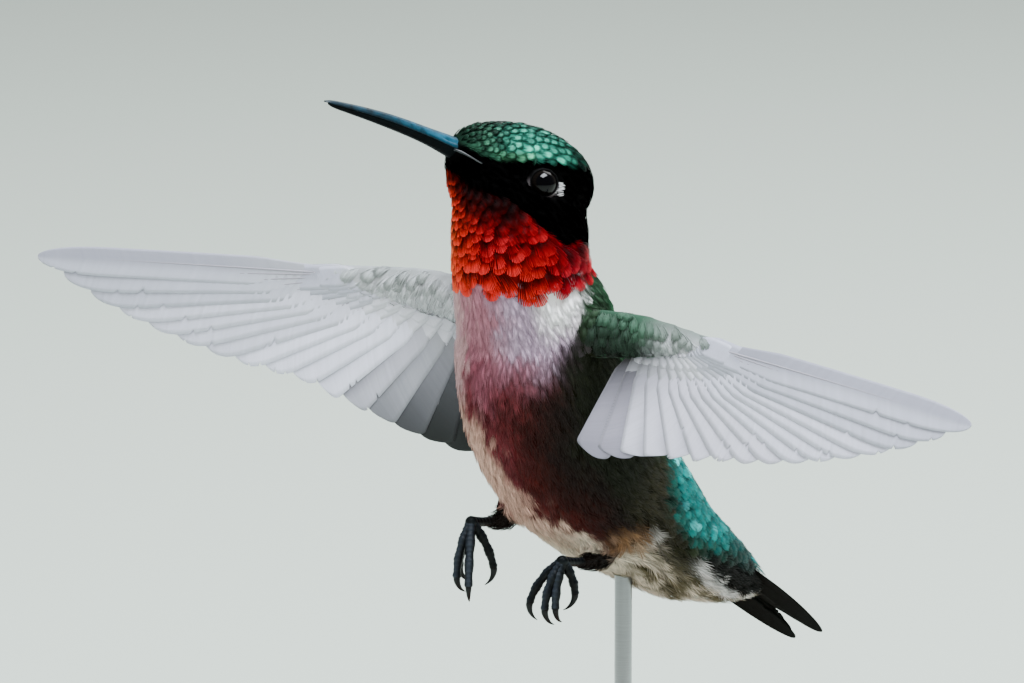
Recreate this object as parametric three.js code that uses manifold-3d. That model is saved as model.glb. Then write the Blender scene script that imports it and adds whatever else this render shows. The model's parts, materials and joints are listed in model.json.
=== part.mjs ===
// Ruby-throated hummingbird, adult male, hovering with spread wings: a still, life-size display model.
// Sizes are in millimetres, +Z is up, the breast faces -Y and the bird's left is +X.
// The origin is the middle of the underside of the stand.

import * as THREE from 'three';
import { mergeVertices } from 'three/addons/utils/BufferGeometryUtils.js';
import Module from 'manifold-3d';

const wasm = await Module();
wasm.setup();

// Driving dimensions.
const HOVER = new THREE.Vector3(0, -17, 56); // the point in the upper breast that the bird's places run from
const PARTING = 0.2; // gap left between neighbouring pieces
const BODY_SIDES = 20;
const HEAD_TURN = 19; // degrees to the bird's right
const HEAD_RAISE = 22; // degrees above level
const HEAD_MIDDLE = [-1.7, 3.4, 16.4]; // middle of the skull
const BILL_REACH = 24; // from the middle of the skull to the tip of the bill
const BILL_ROOT = 6.5; // from the middle of the skull to where the bill starts inside the face
const EYE_RADIUS = 1.65;
const EYE_PLACE = [0.5, 4.9, -0.9]; // ahead, to the side and up from the middle of the skull
const GAPE = 0.06; // from the line where the bill closes to the edge of either half
const WING_SPAN = 50; // shoulder to tip
const FEATHER_THICKNESS = 0.5;
const SECONDARY_WIDTH = 4.6;
const PRIMARY_WIDTH = 4.9; // the innermost one's
const TAIL_LENGTH = 26;
const TOE_RADIUS = 0.42;
const CLAW_LENGTH = 1.9;
const CLAW_RADIUS = 0.36;
const CLAW_HOOK = 75; // degrees that a claw turns down from its root to its point
const ANKLE_RADIUS = 0.72;
const ROD_RADIUS = 0.9;
const ROD_TOP = 32; // height of its upper end, inside the belly
const ROD_IN_BASE = 4;
const BASE_RADIUS = 33;
const BASE_HEIGHT = 6;
const BASE_SIDES = 36;

const UP = new THREE.Vector3(0, 0, 1);
const LEFT = new THREE.Vector3(1, 0, 0);
const model = new THREE.Group();

function radians(degrees) {
  return THREE.MathUtils.degToRad(degrees);
}

function at(x, y, z) {
  return new THREE.Vector3(x, y, z).add(HOVER);
}

// Start plus any number of [direction, distance] steps.
function reach(start, ...steps) {
  const end = start.clone();
  for (const [direction, distance] of steps) {
    end.addScaledVector(direction, distance);
  }
  return end;
}

// Solids: closed geometries become manifold solids to be joined and cut, and go back to geometries.

function solidOf(geometry) {
  const bare = geometry.clone();
  bare.deleteAttribute('normal');
  bare.deleteAttribute('uv');
  const merged = mergeVertices(bare, 1e-4);
  const mesh = new wasm.Mesh({
    numProp: 3,
    vertProperties: new Float32Array(merged.attributes.position.array),
    triVerts: new Uint32Array(merged.index.array),
  });
  return new wasm.Manifold(mesh);
}

function geometryOf(solid) {
  const mesh = solid.getMesh();
  const geometry = new THREE.BufferGeometry();
  geometry.setAttribute('position', new THREE.Float32BufferAttribute(mesh.vertProperties, 3));
  geometry.setIndex(new THREE.Uint32BufferAttribute(mesh.triVerts, 1));
  geometry.computeVertexNormals();
  return geometry;
}

function join(solids) {
  return solids.reduce((sum, solid) => sum.add(solid));
}

// The biggest piece left after a cut, without the crumbs.
function mainPiece(solid) {
  const pieces = solid.decompose();
  return pieces.reduce((best, piece) => (piece.volume() > best.volume() ? piece : best));
}

// A closed solid through a row of rings that have the same number of points.
function loft(rings) {
  const sides = rings[0].length;
  const triangles = [];
  for (let i = 0; i + 1 < rings.length; i++) {
    for (let j = 0; j < sides; j++) {
      const k = (j + 1) % sides;
      triangles.push([rings[i][j], rings[i][k], rings[i + 1][k]]);
      triangles.push([rings[i][j], rings[i + 1][k], rings[i + 1][j]]);
    }
  }
  const first = rings[0];
  const last = rings[rings.length - 1];
  for (let j = 1; j + 1 < sides; j++) {
    triangles.push([first[0], first[j + 1], first[j]]);
    triangles.push([last[0], last[j], last[j + 1]]);
  }
  const origin = first[0];
  const fromOrigin = (point) => point.clone().sub(origin);
  const volume = triangles.reduce(
    (sum, [a, b, c]) => sum + fromOrigin(a).dot(fromOrigin(b).cross(fromOrigin(c))),
    0
  );
  const outward = volume > 0 ? triangles : triangles.map(([a, b, c]) => [a, c, b]);
  const geometry = new THREE.BufferGeometry();
  geometry.setFromPoints(outward.flat());
  return solidOf(geometry);
}

// An oval ring: across is half its width, rise and fall are its reach above and below the middle.
function ovalRing(middle, sideways, upward, across, rise, fall, sides) {
  const ring = [];
  for (let i = 0; i < sides; i++) {
    const angle = (2 * Math.PI * i) / sides;
    const height = Math.sin(angle) > 0 ? rise : fall;
    ring.push(reach(middle, [sideways, across * Math.cos(angle)], [upward, height * Math.sin(angle)]));
  }
  return ring;
}

// A half-space as a large block whose flat face passes through a point and looks along a normal.
function beyond(point, normal) {
  const size = 240;
  const block = new THREE.BoxGeometry(size, size, size);
  block.translate(0, 0, size / 2);
  block.applyQuaternion(new THREE.Quaternion().setFromUnitVectors(UP, normal));
  block.translate(point.x, point.y, point.z);
  return solidOf(block);
}

function addPiece(name, solid, color, roughness, metalness = 0) {
  const material = new THREE.MeshStandardMaterial({ color, roughness, metalness });
  const mesh = new THREE.Mesh(geometryOf(mainPiece(solid)), material);
  mesh.name = name;
  model.add(mesh);
}

// Trunk and neck: one plump spindle on a curved spine, from under the skull to the tail coverts.
// Columns: x, y and z of the spine, then half the width, the reach to the back and to the belly.
const TRUNK_STATIONS = [
  [-1.7, 3.5, 17.0, 3.6, 4.0, 5.9],
  [-1.4, 2.9, 14.8, 5.5, 6.5, 7.6],
  [-0.9, 2.3, 12.4, 6.7, 7.1, 7.7],
  [-0.3, 1.7, 9.5, 7.2, 7.1, 7.4],
  [0, 1.3, 7.1, 7.2, 6.8, 7.4],
  [0, 2.1, 4.9, 7.5, 7.2, 8.1],
  [0, 3.6, 1.7, 8.2, 8.0, 8.9],
  [0, 4.3, -1.4, 8.7, 8.7, 9.6],
  [0, 6.7, -7.8, 9.1, 9.5, 10.2],
  [0, 10.6, -13.6, 8.6, 9.2, 9.5],
  [0, 18.3, -19.0, 7.2, 7.2, 8.3],
  [0, 24.8, -23.7, 5.9, 5.1, 6.8],
  [0, 30.3, -26.5, 4.6, 3.8, 5.2],
  [0, 34.7, -28.6, 3.2, 2.4, 3.9],
  [0, 38.0, -30.6, 1.9, 1.0, 1.8],
];
const TRUNK_RINGS = 25;

function trunkSolid(extra) {
  const spine = new THREE.CatmullRomCurve3(TRUNK_STATIONS.map(([x, y, z]) => at(x, y, z)));
  const girth = new THREE.CatmullRomCurve3(
    TRUNK_STATIONS.map(([, , , width, back, belly]) => new THREE.Vector3(width, back, belly))
  );
  const rings = [];
  for (let i = 0; i <= TRUNK_RINGS; i++) {
    const along = i / TRUNK_RINGS;
    const heading = spine.getTangent(along);
    const backward = LEFT.clone().cross(heading).normalize();
    const sideways = heading.clone().cross(backward).normalize();
    const size = girth.getPoint(along).addScalar(extra);
    rings.push(ovalRing(spine.getPoint(along), sideways, backward, size.x, size.y, size.z, BODY_SIDES));
  }
  return loft(rings);
}

// Head: an egg on the line of the bill, narrowing to the face.
const headForward = new THREE.Vector3(0, -1, 0)
  .applyAxisAngle(LEFT, -radians(HEAD_RAISE))
  .applyAxisAngle(UP, -radians(HEAD_TURN));
const headLeft = new THREE.Vector3().crossVectors(headForward, UP).normalize().negate();
const headUp = new THREE.Vector3().crossVectors(headForward, headLeft).normalize();
const skull = at(...HEAD_MIDDLE);
// Columns: distance ahead of the middle of the skull, half the width, reach up and reach down.
const HEAD_STATIONS = [
  [-8.0, 1.0, 0.8, 1.4],
  [-7.3, 2.8, 2.3, 3.8],
  [-5.9, 4.5, 3.7, 5.2],
  [-4.0, 5.5, 4.6, 5.8],
  [-1.5, 6.0, 5.1, 6.0],
  [0.8, 5.8, 5.1, 6.4],
  [3.2, 4.9, 4.7, 7.0],
  [5.6, 3.6, 3.8, 5.8],
  [7.5, 2.4, 2.7, 3.3],
  [8.8, 1.3, 1.2, 1.5],
];
const HEAD_RINGS = 12;

function headSolid(extra) {
  const table = new THREE.CatmullRomCurve3(
    HEAD_STATIONS.map(([, width, rise, fall]) => new THREE.Vector3(width, rise, fall))
  );
  const places = new THREE.CatmullRomCurve3(
    HEAD_STATIONS.map(([ahead]) => new THREE.Vector3(ahead, 0, 0))
  );
  const rings = [];
  for (let i = 0; i <= HEAD_RINGS; i++) {
    const middle = reach(skull, [headForward, places.getPoint(i / HEAD_RINGS).x]);
    const size = table.getPoint(i / HEAD_RINGS).addScalar(extra);
    rings.push(ovalRing(middle, headLeft, headUp, size.x, size.y, size.z, BODY_SIDES));
  }
  return loft(rings);
}

// Eyes: balls set into the sides of the head.
function eyeMiddle(side) {
  const [ahead, sideways, upward] = EYE_PLACE;
  return reach(skull, [headForward, ahead], [headLeft, side * sideways], [headUp, upward]);
}

const EYE_SIDES = 14;

function ball(middle, radius, sides) {
  const sphere = new THREE.SphereGeometry(radius, sides, Math.round(sides * 0.65));
  sphere.translate(middle.x, middle.y, middle.z);
  return solidOf(sphere);
}

const whole = trunkSolid(0).add(headSolid(0));
const wholeGrown = trunkSolid(PARTING).add(headSolid(PARTING));

// Bill: two slender halves that meet along the gape line, drooping very slightly to the tip.
const BILL_STATIONS = [
  [0, 1.2, 1.15],
  [0.16, 1.05, 1.0],
  [0.32, 0.85, 0.8],
  [0.6, 0.68, 0.66],
  [0.85, 0.5, 0.46],
  [0.96, 0.34, 0.32],
  [1, 0.16, 0.15],
];
const BILL_SIDES = 8;
const BILL_ARCH = 0.45; // rise of its middle above the line from end to end
const BILL_SINK = 0.15; // its root lies this far below the middle of the skull
const LOWER_SHORTFALL = 0.5; // how far the lower half ends short of the upper one

function billHalf(direction, shortening) {
  const length = BILL_REACH - BILL_ROOT - shortening;
  const rings = BILL_STATIONS.map(([along, width, height]) => {
    const arch = BILL_ARCH * Math.sin(Math.PI * along);
    const middle = reach(skull, [headForward, BILL_ROOT + along * length], [headUp, arch - BILL_SINK]);
    const ring = [];
    for (let i = 0; i <= BILL_SIDES; i++) {
      const angle = (Math.PI * i) / BILL_SIDES;
      const rise = GAPE + height * Math.sin(angle);
      ring.push(reach(middle, [headLeft, width * Math.cos(angle)], [headUp, direction * rise]));
    }
    return ring;
  });
  return loft(rings);
}

addPiece('bill_upper', billHalf(1, 0).subtract(wholeGrown), 0x1d2228, 0.35);
addPiece('bill_lower', billHalf(-1, LOWER_SHORTFALL).subtract(wholeGrown), 0x1b1f25, 0.4);

// Stand: a turned disc, and a rod that stands in it and holds the bird under the belly.
function rod(radius, bottom, top, sides) {
  const cylinder = new THREE.CylinderGeometry(radius, radius, top - bottom, sides);
  cylinder.rotateX(Math.PI / 2);
  cylinder.translate(0, 0, (top + bottom) / 2);
  return solidOf(cylinder);
}

function standBase() {
  const bevel = 1.2;
  const profile = [
    new THREE.Vector2(0, 0),
    new THREE.Vector2(BASE_RADIUS - 0.4, 0),
    new THREE.Vector2(BASE_RADIUS, 0.4),
    new THREE.Vector2(BASE_RADIUS, BASE_HEIGHT - 2 * bevel),
    new THREE.Vector2(BASE_RADIUS - 0.35 * bevel, BASE_HEIGHT - bevel),
    new THREE.Vector2(BASE_RADIUS - 1.8 * bevel, BASE_HEIGHT),
    new THREE.Vector2(0, BASE_HEIGHT),
  ];
  const disc = new THREE.LatheGeometry(profile, BASE_SIDES);
  disc.rotateX(Math.PI / 2);
  return solidOf(disc);
}

const rodHole = rod(ROD_RADIUS + PARTING, BASE_HEIGHT - ROD_IN_BASE - PARTING, ROD_TOP + PARTING, 16);
addPiece('stand_rod', rod(ROD_RADIUS, BASE_HEIGHT - ROD_IN_BASE, ROD_TOP, 16), 0x9a9da1, 0.35, 1);
addPiece('stand_base', standBase().subtract(rodHole), 0x2a1f1a, 0.45);

// The body is parted at the edge of the crown and cheeks, at the foot of the gorget and at the rump.
const cheekNormal = headUp.clone().applyAxisAngle(headLeft, radians(-6));
const cheekPoint = reach(skull, [headUp, -3.3]);
const gorgetNormal = new THREE.Vector3(0, -Math.sin(radians(20)), Math.cos(radians(20)));
const gorgetPoint = at(0, 1.9, 6.2);
const rumpNormal = new THREE.Vector3(0, -0.8, 0.6);
const rumpPoint = at(0, 22.5, -22.2);

function above(point, normal) {
  return beyond(reach(point, [normal, PARTING / 2]), normal);
}

function below(point, normal) {
  return beyond(reach(point, [normal, -PARTING / 2]), normal.clone().negate());
}

const sockets = join([1, -1].map((side) => ball(eyeMiddle(side), EYE_RADIUS + PARTING, EYE_SIDES)));
const neckDown = whole.intersect(below(cheekPoint, cheekNormal));
const trunkDown = neckDown.intersect(below(gorgetPoint, gorgetNormal));
const head = whole.intersect(above(cheekPoint, cheekNormal)).subtract(sockets);
addPiece('head', head, 0x1f3a30, 0.5);
addPiece('neck', neckDown.intersect(above(gorgetPoint, gorgetNormal)).subtract(sockets), 0xc22a18, 0.45);
addPiece('trunk', trunkDown.intersect(above(rumpPoint, rumpNormal)).subtract(rodHole), 0xa08c8c, 0.8);
addPiece('rump', trunkDown.intersect(below(rumpPoint, rumpNormal)), 0x2f6f6c, 0.6);
addPiece('eye_left', ball(eyeMiddle(1), EYE_RADIUS, EYE_SIDES), 0x0a0a0c, 0.05);
addPiece('eye_right', ball(eyeMiddle(-1), EYE_RADIUS, EYE_SIDES), 0x0a0a0c, 0.05);

// A flat feather: root, tip, the direction its face looks in, its width, and how far its middle bows.
const FEATHER_STEPS = 5;

function feather(root, tip, face, width, bow) {
  const along = tip.clone().sub(root).normalize();
  const across = along.clone().cross(face).normalize();
  const flat = across.clone().cross(along).normalize();
  const rings = [];
  for (let i = 0; i <= FEATHER_STEPS; i++) {
    const place = i / FEATHER_STEPS;
    const step = 1 - (1 - place) ** 1.35;
    const roundTip = Math.sqrt(Math.max(0.02, 1 - Math.max(0, (step - 0.84) / 0.17) ** 2));
    const half = (width / 2) * Math.min(1, 0.45 + 1.4 * step) * roundTip;
    const middle = root.clone().lerp(tip, step).addScaledVector(across, bow * Math.sin(Math.PI * step));
    rings.push([
      reach(middle, [across, half], [flat, FEATHER_THICKNESS / 2]),
      reach(middle, [across, -half], [flat, FEATHER_THICKNESS / 2]),
      reach(middle, [across, -half], [flat, -FEATHER_THICKNESS / 2]),
      reach(middle, [across, half], [flat, -FEATHER_THICKNESS / 2]),
    ]);
  }
  return loft(rings);
}

// Wings: six secondaries and ten primaries fan out from an arm along the leading edge. Places on a
// wing are [out from the shoulder, down from the leading edge]. The fan starts part of the way along
// the lines of its tips and roots, as firstTip and firstRoot say.
const SECONDARIES = 6;
const PRIMARIES = 10;
const FEATHERS = SECONDARIES + PRIMARIES;
const WING_POSES = {
  left: {
    side: 1,
    rise: 5.2,
    forward: 0,
    droop: 8,
    sweepUnder: 22,
    innerDrop: 0.6,
    firstTip: 0.085,
    firstRoot: 0.55,
  },
  right: {
    side: -1,
    rise: 6.4,
    forward: 21,
    droop: 1.6,
    sweepUnder: 6,
    innerDrop: 3.6,
    firstTip: 0,
    firstRoot: 0,
  },
};
const TIP_LINE = [
  [3.4, 15.2],
  [9, 14.6],
  [15, 13.0],
  [22, 11.0],
  [29, 9.2],
  [36, 6.9],
  [43.5, 3.9],
  [WING_SPAN, 0.5],
];
const ROOT_LINE = [
  [1.5, 3.4],
  [5, 3.0],
  [9, 2.1],
  [13, 1.6],
  [16.5, 1.3],
];
// Columns: out from the shoulder, down from the leading edge, half the depth and half the thickness.
const ARM_SIDES = 10;
const ARM_STATIONS = [
  [-2.5, 4.0, 2.6, 2.2],
  [0.5, 3.8, 2.6, 1.9],
  [4, 3.3, 2.7, 1.5],
  [8, 2.5, 2.5, 1.1],
  [12, 2.0, 2.0, 0.9],
  [16, 1.4, 1.35, 0.7],
  [19.5, 0.9, 0.8, 0.5],
];

function wing(name, pose) {
  const out = new THREE.Vector3(pose.side, 0, 0)
    .applyAxisAngle(new THREE.Vector3(0, 1, 0), pose.side * radians(pose.droop))
    .applyAxisAngle(UP, -pose.side * radians(pose.forward));
  const down = UP.clone().projectOnPlane(out).normalize().negate();
  down.applyAxisAngle(out, -pose.side * radians(pose.sweepUnder));
  const front = down.clone().cross(out).multiplyScalar(pose.side).normalize();
  const shoulder = at(pose.side * 6.5, 4.2, pose.rise);
  const spot = (outward, downward, forward = 0) =>
    reach(shoulder, [out, outward], [down, downward], [front, forward]);

  const tips = new THREE.SplineCurve(
    TIP_LINE.map(([x, y], i) => new THREE.Vector2(x, y + pose.innerDrop * Math.max(0, 1 - i / 3)))
  );
  const roots = new THREE.SplineCurve(ROOT_LINE.map(([x, y]) => new THREE.Vector2(x, y)));
  const tipAt = (place) => tips.getPointAt(THREE.MathUtils.lerp(pose.firstTip, 1, place));
  const rootAt = (place) => roots.getPoint(THREE.MathUtils.lerp(pose.firstRoot, 1, place));
  const blades = [];
  for (let i = 0; i < FEATHERS; i++) {
    const place = i / (FEATHERS - 1);
    const tip = tipAt(place);
    const root = rootAt(place);
    const face = reach(front, [down, 0.1]).normalize();
    const width = i < SECONDARIES ? SECONDARY_WIDTH : PRIMARY_WIDTH - 1.9 * place ** 6;
    const lift = 0.035 * (i - FEATHERS / 2);
    const bow = pose.side * (i < SECONDARIES ? 0.2 : 0.25 + 1.1 * place ** 4);
    blades.push(feather(spot(root.x, root.y, lift), spot(tip.x, tip.y, lift + 0.2), face, width, bow));
  }
  const arm = (extra) =>
    loft(
      ARM_STATIONS.map(([outward, downward, depth, thickness]) => {
        const half = thickness + extra;
        return ovalRing(spot(outward, downward), down, front, depth + extra, half, half, ARM_SIDES);
      })
    );

  const fan = join(blades).subtract(arm(PARTING)).subtract(wholeGrown);
  const lastSecondary = SECONDARIES - 0.5;
  const splitTip = tipAt(lastSecondary / (FEATHERS - 1));
  const splitRoot = rootAt(lastSecondary / (FEATHERS - 1));
  const splitLine = spot(splitTip.x, splitTip.y).sub(spot(splitRoot.x, splitRoot.y));
  const outerSide = splitLine.clone().cross(front).normalize();
  if (outerSide.dot(out) < 0) {
    outerSide.negate();
  }
  const splitPoint = spot(splitRoot.x, splitRoot.y);
  addPiece(`wing_${name}_coverts`, arm(0).subtract(wholeGrown), 0x5c6a62, 0.6);
  addPiece(`wing_${name}_secondaries`, fan.intersect(below(splitPoint, outerSide)), 0x77757e, 0.6);
  addPiece(`wing_${name}_primaries`, fan.intersect(above(splitPoint, outerSide)), 0xc9c8d4, 0.6);
}

wing('left', WING_POSES.left);
wing('right', WING_POSES.right);

// Tail: five pairs of feathers, the outer ones longest, so that the closed tail is forked.
const TAIL_PAIRS = 5;
const TAIL_FORK = 7.5;
const TAIL_SPREAD = 1.7; // from the middle to the outermost tip
const TAIL_DIP = 32.5; // degrees below level
const TAIL_ROLL = 22; // degrees, the left edge raised
const tailBack = new THREE.Vector3(0, Math.cos(radians(TAIL_DIP)), -Math.sin(radians(TAIL_DIP)));
const tailLeft = LEFT.clone().applyAxisAngle(tailBack, -radians(TAIL_ROLL));
const tailUp = new THREE.Vector3().crossVectors(tailLeft, tailBack).normalize();
const tailRoot = at(0, 24.6, -22.8);

function tailFeathers() {
  const feathers = [];
  for (let pair = 0; pair < TAIL_PAIRS; pair++) {
    const place = pair / (TAIL_PAIRS - 1);
    const length = TAIL_LENGTH - TAIL_FORK * (1 - place) ** 1.3;
    for (const side of [-1, 1]) {
      const lift = -0.16 * pair - (side > 0 ? 0.08 : 0);
      const root = reach(tailRoot, [tailLeft, side * (0.4 + 0.9 * place)], [tailUp, lift]);
      const reachOut = side * (0.7 + (TAIL_SPREAD - 0.7) * place);
      const tip = reach(tailRoot, [tailBack, length], [tailLeft, reachOut], [tailUp, lift]);
      feathers.push(feather(root, tip, tailUp, 3.0 - 0.4 * place, side * 0.6 * place));
    }
  }
  return join(feathers);
}

addPiece('tail', tailFeathers().subtract(wholeGrown), 0x141417, 0.6);

// Legs: a feathered shank, then a bare foot with three toes in front, one behind and a hooked claw on
// each. A toe's row: name, turn from straight ahead, dip at its root and tip, and length.
const LEGS = {
  left: {
    thigh: at(4.2, 12.5, -19.5),
    heel: at(4.0, 8.6, -23.3),
    ankle: at(4.0, 3.1, -22.4),
    toes: [
      ['inner', -46, 30, 75, 5.5],
      ['middle', -14, 45, 88, 5.4],
      ['outer', 10, 58, 92, 5.0],
      ['hind', 140, 50, 90, 3.8],
    ],
  },
  right: {
    thigh: at(-4.6, 6.5, -15.5),
    heel: at(-4.8, 4.6, -19.6),
    ankle: at(-4.6, -1.0, -18.9),
    toes: [
      ['inner', 36, 52, 80, 6.8],
      ['middle', -4, 50, 90, 6.0],
      ['outer', -30, 60, 90, 4.8],
      ['hind', 140, 50, 80, 5.4],
    ],
  },
};
const TOE_STEPS = 4;
const CLAW_STEPS = 3;
const TOE_SIDES = 6;
const FEATHERED_SHARE = 0.6; // how far down from the heel the shank is feathered

// Points and headings along a digit that turns down evenly from its first dip to its last.
function digit(start, turn, dipFrom, dipTo, length, steps) {
  const points = [];
  const place = start.clone();
  for (let i = 0; i <= steps; i++) {
    const dip = radians(THREE.MathUtils.lerp(dipFrom, dipTo, i / steps));
    const level = Math.cos(dip);
    const heading = new THREE.Vector3(
      Math.sin(radians(turn)) * level,
      -Math.cos(radians(turn)) * level,
      -Math.sin(dip)
    );
    points.push({ place: place.clone(), heading });
    place.addScaledVector(heading, length / steps);
  }
  return points;
}

function taper(points, turn, radii) {
  const sideways = new THREE.Vector3(Math.cos(radians(turn)), Math.sin(radians(turn)), 0);
  const rings = points.map(({ place, heading }, i) => {
    const upward = heading.clone().cross(sideways).normalize();
    return ovalRing(place, sideways, upward, radii[i], radii[i], radii[i], TOE_SIDES);
  });
  return loft(rings);
}

function limb(points, radii) {
  const rings = points.map((point, i) => {
    const before = points[Math.max(0, i - 1)];
    const after = points[Math.min(points.length - 1, i + 1)];
    const heading = after.clone().sub(before).normalize();
    const upward = LEFT.clone().cross(heading).normalize().negate();
    return ovalRing(point, LEFT, upward, radii[i], radii[i], radii[i], 8);
  });
  return loft(rings);
}

function leg(name, { thigh, heel, ankle, toes }) {
  const knee = thigh.clone().lerp(heel, 0.6);
  const cuff = heel.clone().lerp(ankle, 0.35);
  const footTop = heel.clone().lerp(ankle, FEATHERED_SHARE);
  const shank = limb([thigh, knee, heel, cuff, footTop], [2.4, 1.9, 1.2, 0.95, 0.6]);
  addPiece(`leg_${name}`, shank.subtract(wholeGrown), 0x4a4238, 0.8);

  const down = ankle.clone().sub(heel).normalize();
  const footStart = reach(footTop, [down, PARTING]);
  const middle = heel.clone().lerp(ankle, 0.8);
  const parts = [limb([footStart, middle, ankle], [0.5, 0.48, 0.6]), ball(ankle, ANKLE_RADIUS, 8)];
  for (const [toe, turn, dipFrom, dipTo, length] of toes) {
    const points = digit(ankle, turn, dipFrom, dipTo, length, TOE_STEPS);
    const radii = points.map((point, i) => TOE_RADIUS * (1.15 - (0.25 * i) / TOE_STEPS));
    parts.push(taper(points, turn, radii));
    const end = points[TOE_STEPS];
    const start = reach(end.place, [end.heading, PARTING]);
    const hook = digit(start, turn, dipTo, dipTo + CLAW_HOOK, CLAW_LENGTH, CLAW_STEPS);
    const clawRadii = hook.map((point, i) => CLAW_RADIUS * (1 - (0.78 * i) / CLAW_STEPS));
    addPiece(`claw_${name}_${toe}`, taper(hook, turn, clawRadii), 0x16171a, 0.3);
  }
  addPiece(`foot_${name}`, join(parts).subtract(wholeGrown), 0x23262b, 0.5);
}

leg('left', LEGS.left);
leg('right', LEGS.right);

export default model;
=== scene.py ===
import json
import math

import bpy
import numpy as np
from mathutils import Matrix, Vector
from mathutils.bvhtree import BVHTree

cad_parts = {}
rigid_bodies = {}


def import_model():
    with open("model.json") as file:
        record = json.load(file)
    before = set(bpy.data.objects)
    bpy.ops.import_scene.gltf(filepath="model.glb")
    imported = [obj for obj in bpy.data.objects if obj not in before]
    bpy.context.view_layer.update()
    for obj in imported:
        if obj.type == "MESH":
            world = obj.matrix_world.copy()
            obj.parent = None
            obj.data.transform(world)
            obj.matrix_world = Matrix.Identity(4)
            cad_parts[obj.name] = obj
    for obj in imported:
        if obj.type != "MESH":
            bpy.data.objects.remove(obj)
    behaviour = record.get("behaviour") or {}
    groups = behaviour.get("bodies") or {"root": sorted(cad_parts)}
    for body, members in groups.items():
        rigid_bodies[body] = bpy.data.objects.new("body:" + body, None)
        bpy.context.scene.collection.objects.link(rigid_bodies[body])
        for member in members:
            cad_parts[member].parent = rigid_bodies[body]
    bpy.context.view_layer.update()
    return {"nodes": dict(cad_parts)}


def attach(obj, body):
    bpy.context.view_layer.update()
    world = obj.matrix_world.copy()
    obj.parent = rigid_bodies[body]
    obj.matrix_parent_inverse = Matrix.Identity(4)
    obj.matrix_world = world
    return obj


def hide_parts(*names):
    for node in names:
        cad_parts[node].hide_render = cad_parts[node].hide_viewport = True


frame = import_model()

# ---------------------------------------------------------------------------------------------
# Display place. A pale paper floor with the model standing on it, seen from its left front and a
# little from above, under a soft lamp overhead, a broad one in front and a weak one behind.

MM = 0.001
VIEW_TURN, VIEW_RAISE = math.radians(42), math.radians(10)
VIEW_TARGET = Vector((0, -0.017, 0.056))
VIEW_DISTANCE = 0.8
SENSOR_WIDTH, LENS_LENGTH = 36, 281.25
FLOOR_SIZE = 3.0


def linear(code):
    """A linear colour with alpha from an sRGB hex code."""
    parts = [int(code[i:i + 2], 16) / 255 for i in (0, 2, 4)]
    return (*[c / 12.92 if c <= 0.04045 else ((c + 0.055) / 1.055) ** 2.4 for c in parts], 1.0)


def new_material(name):
    material = bpy.data.materials.new(name)
    material.use_nodes = True
    return material


def add_node(material, kind, inputs=(), **settings):
    """Adds a shader node, sets it up, and gives each named input a value or links it to a socket."""
    nodes, links = material.node_tree.nodes, material.node_tree.links
    node = nodes.get(kind) if kind == "Principled BSDF" else nodes.new(kind)
    for key, value in settings.items():
        setattr(node, key, value)
    for key, value in dict(inputs).items():
        if isinstance(value, bpy.types.NodeSocket):
            links.new(value, node.inputs[key])
        else:
            node.inputs[key].default_value = value
    return node


def deselect():
    for thing in bpy.context.view_layer.objects:
        thing.select_set(False)


def finish_piece(piece, name, material, replaced=()):
    """Names a finished piece, gives it its material and fastens it to the model."""
    piece.name = piece.data.name = name
    piece.data.materials.clear()
    piece.data.materials.append(material)
    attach(piece, "root")
    if replaced:
        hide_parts(*replaced)


view_back = Vector((
    math.sin(VIEW_TURN) * math.cos(VIEW_RAISE),
    -math.cos(VIEW_TURN) * math.cos(VIEW_RAISE),
    math.sin(VIEW_RAISE),
))
bpy.ops.object.camera_add(location=VIEW_TARGET + view_back * VIEW_DISTANCE)
camera = bpy.context.object
camera.rotation_euler = (-view_back).to_track_quat("-Z", "Y").to_euler()
camera.data.sensor_width, camera.data.lens = SENSOR_WIDTH, LENS_LENGTH
camera.data.clip_start, camera.data.clip_end = 0.05, 20
bpy.context.scene.camera = camera

deselect()
bpy.ops.mesh.primitive_plane_add(size=FLOOR_SIZE)
floor = bpy.context.object
floor.name = "studio_floor"
# Paper without gloss, whose faint grain keeps the floor from looking like a flat tone.
floor_paper = new_material("matt studio paper, pale grey-green")
grain = add_node(floor_paper, "ShaderNodeTexNoise", {"Scale": 900.0, "Detail": 2.0})
add_node(floor_paper, "Principled BSDF", {
    "Base Color": linear("AEB8AD"),
    "Roughness": 0.9,
    "Normal": add_node(floor_paper, "ShaderNodeBump", {
        "Strength": 0.05, "Distance": 0.0002, "Height": grain.outputs["Fac"]}).outputs["Normal"],
})
floor.data.materials.append(floor_paper)


def soft_lamp(name, turn, raised, distance, size, power, colour):
    """A lamp panel that faces the bird from a turn round it and a height, both in degrees."""
    turn, raised = math.radians(turn), math.radians(raised)
    level = math.cos(raised)
    away = Vector((math.sin(turn) * level, -math.cos(turn) * level, math.sin(raised)))
    bpy.ops.object.light_add(type="AREA", location=VIEW_TARGET + away * distance)
    lamp = bpy.context.object
    lamp.name = name
    lamp.rotation_euler = (-away).to_track_quat("-Z", "Y").to_euler()
    lamp.data.shape = "RECTANGLE"
    lamp.data.size, lamp.data.size_y = size
    lamp.data.energy = power
    lamp.data.color = linear(colour)[:3]


soft_lamp("lamp_key", 96, 76, 0.75, (0.54, 0.34), 26.0, "F2F8FF")
soft_lamp("lamp_front", 30, 24, 1.1, (2.0, 1.6), 22.0, "FFFCFA")
bpy.context.object.visible_glossy = False  # or it would show as a grey patch in the eyes
soft_lamp("lamp_behind", 190, 45, 0.8, (0.4, 0.4), 2.5, "FFFFFF")
room = bpy.data.worlds.new("pale room")
room.use_nodes = True
walls = room.node_tree.nodes["Background"].inputs
walls["Color"].default_value, walls["Strength"].default_value = linear("D5DAD8"), 0.3
bpy.context.scene.world = room

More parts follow.
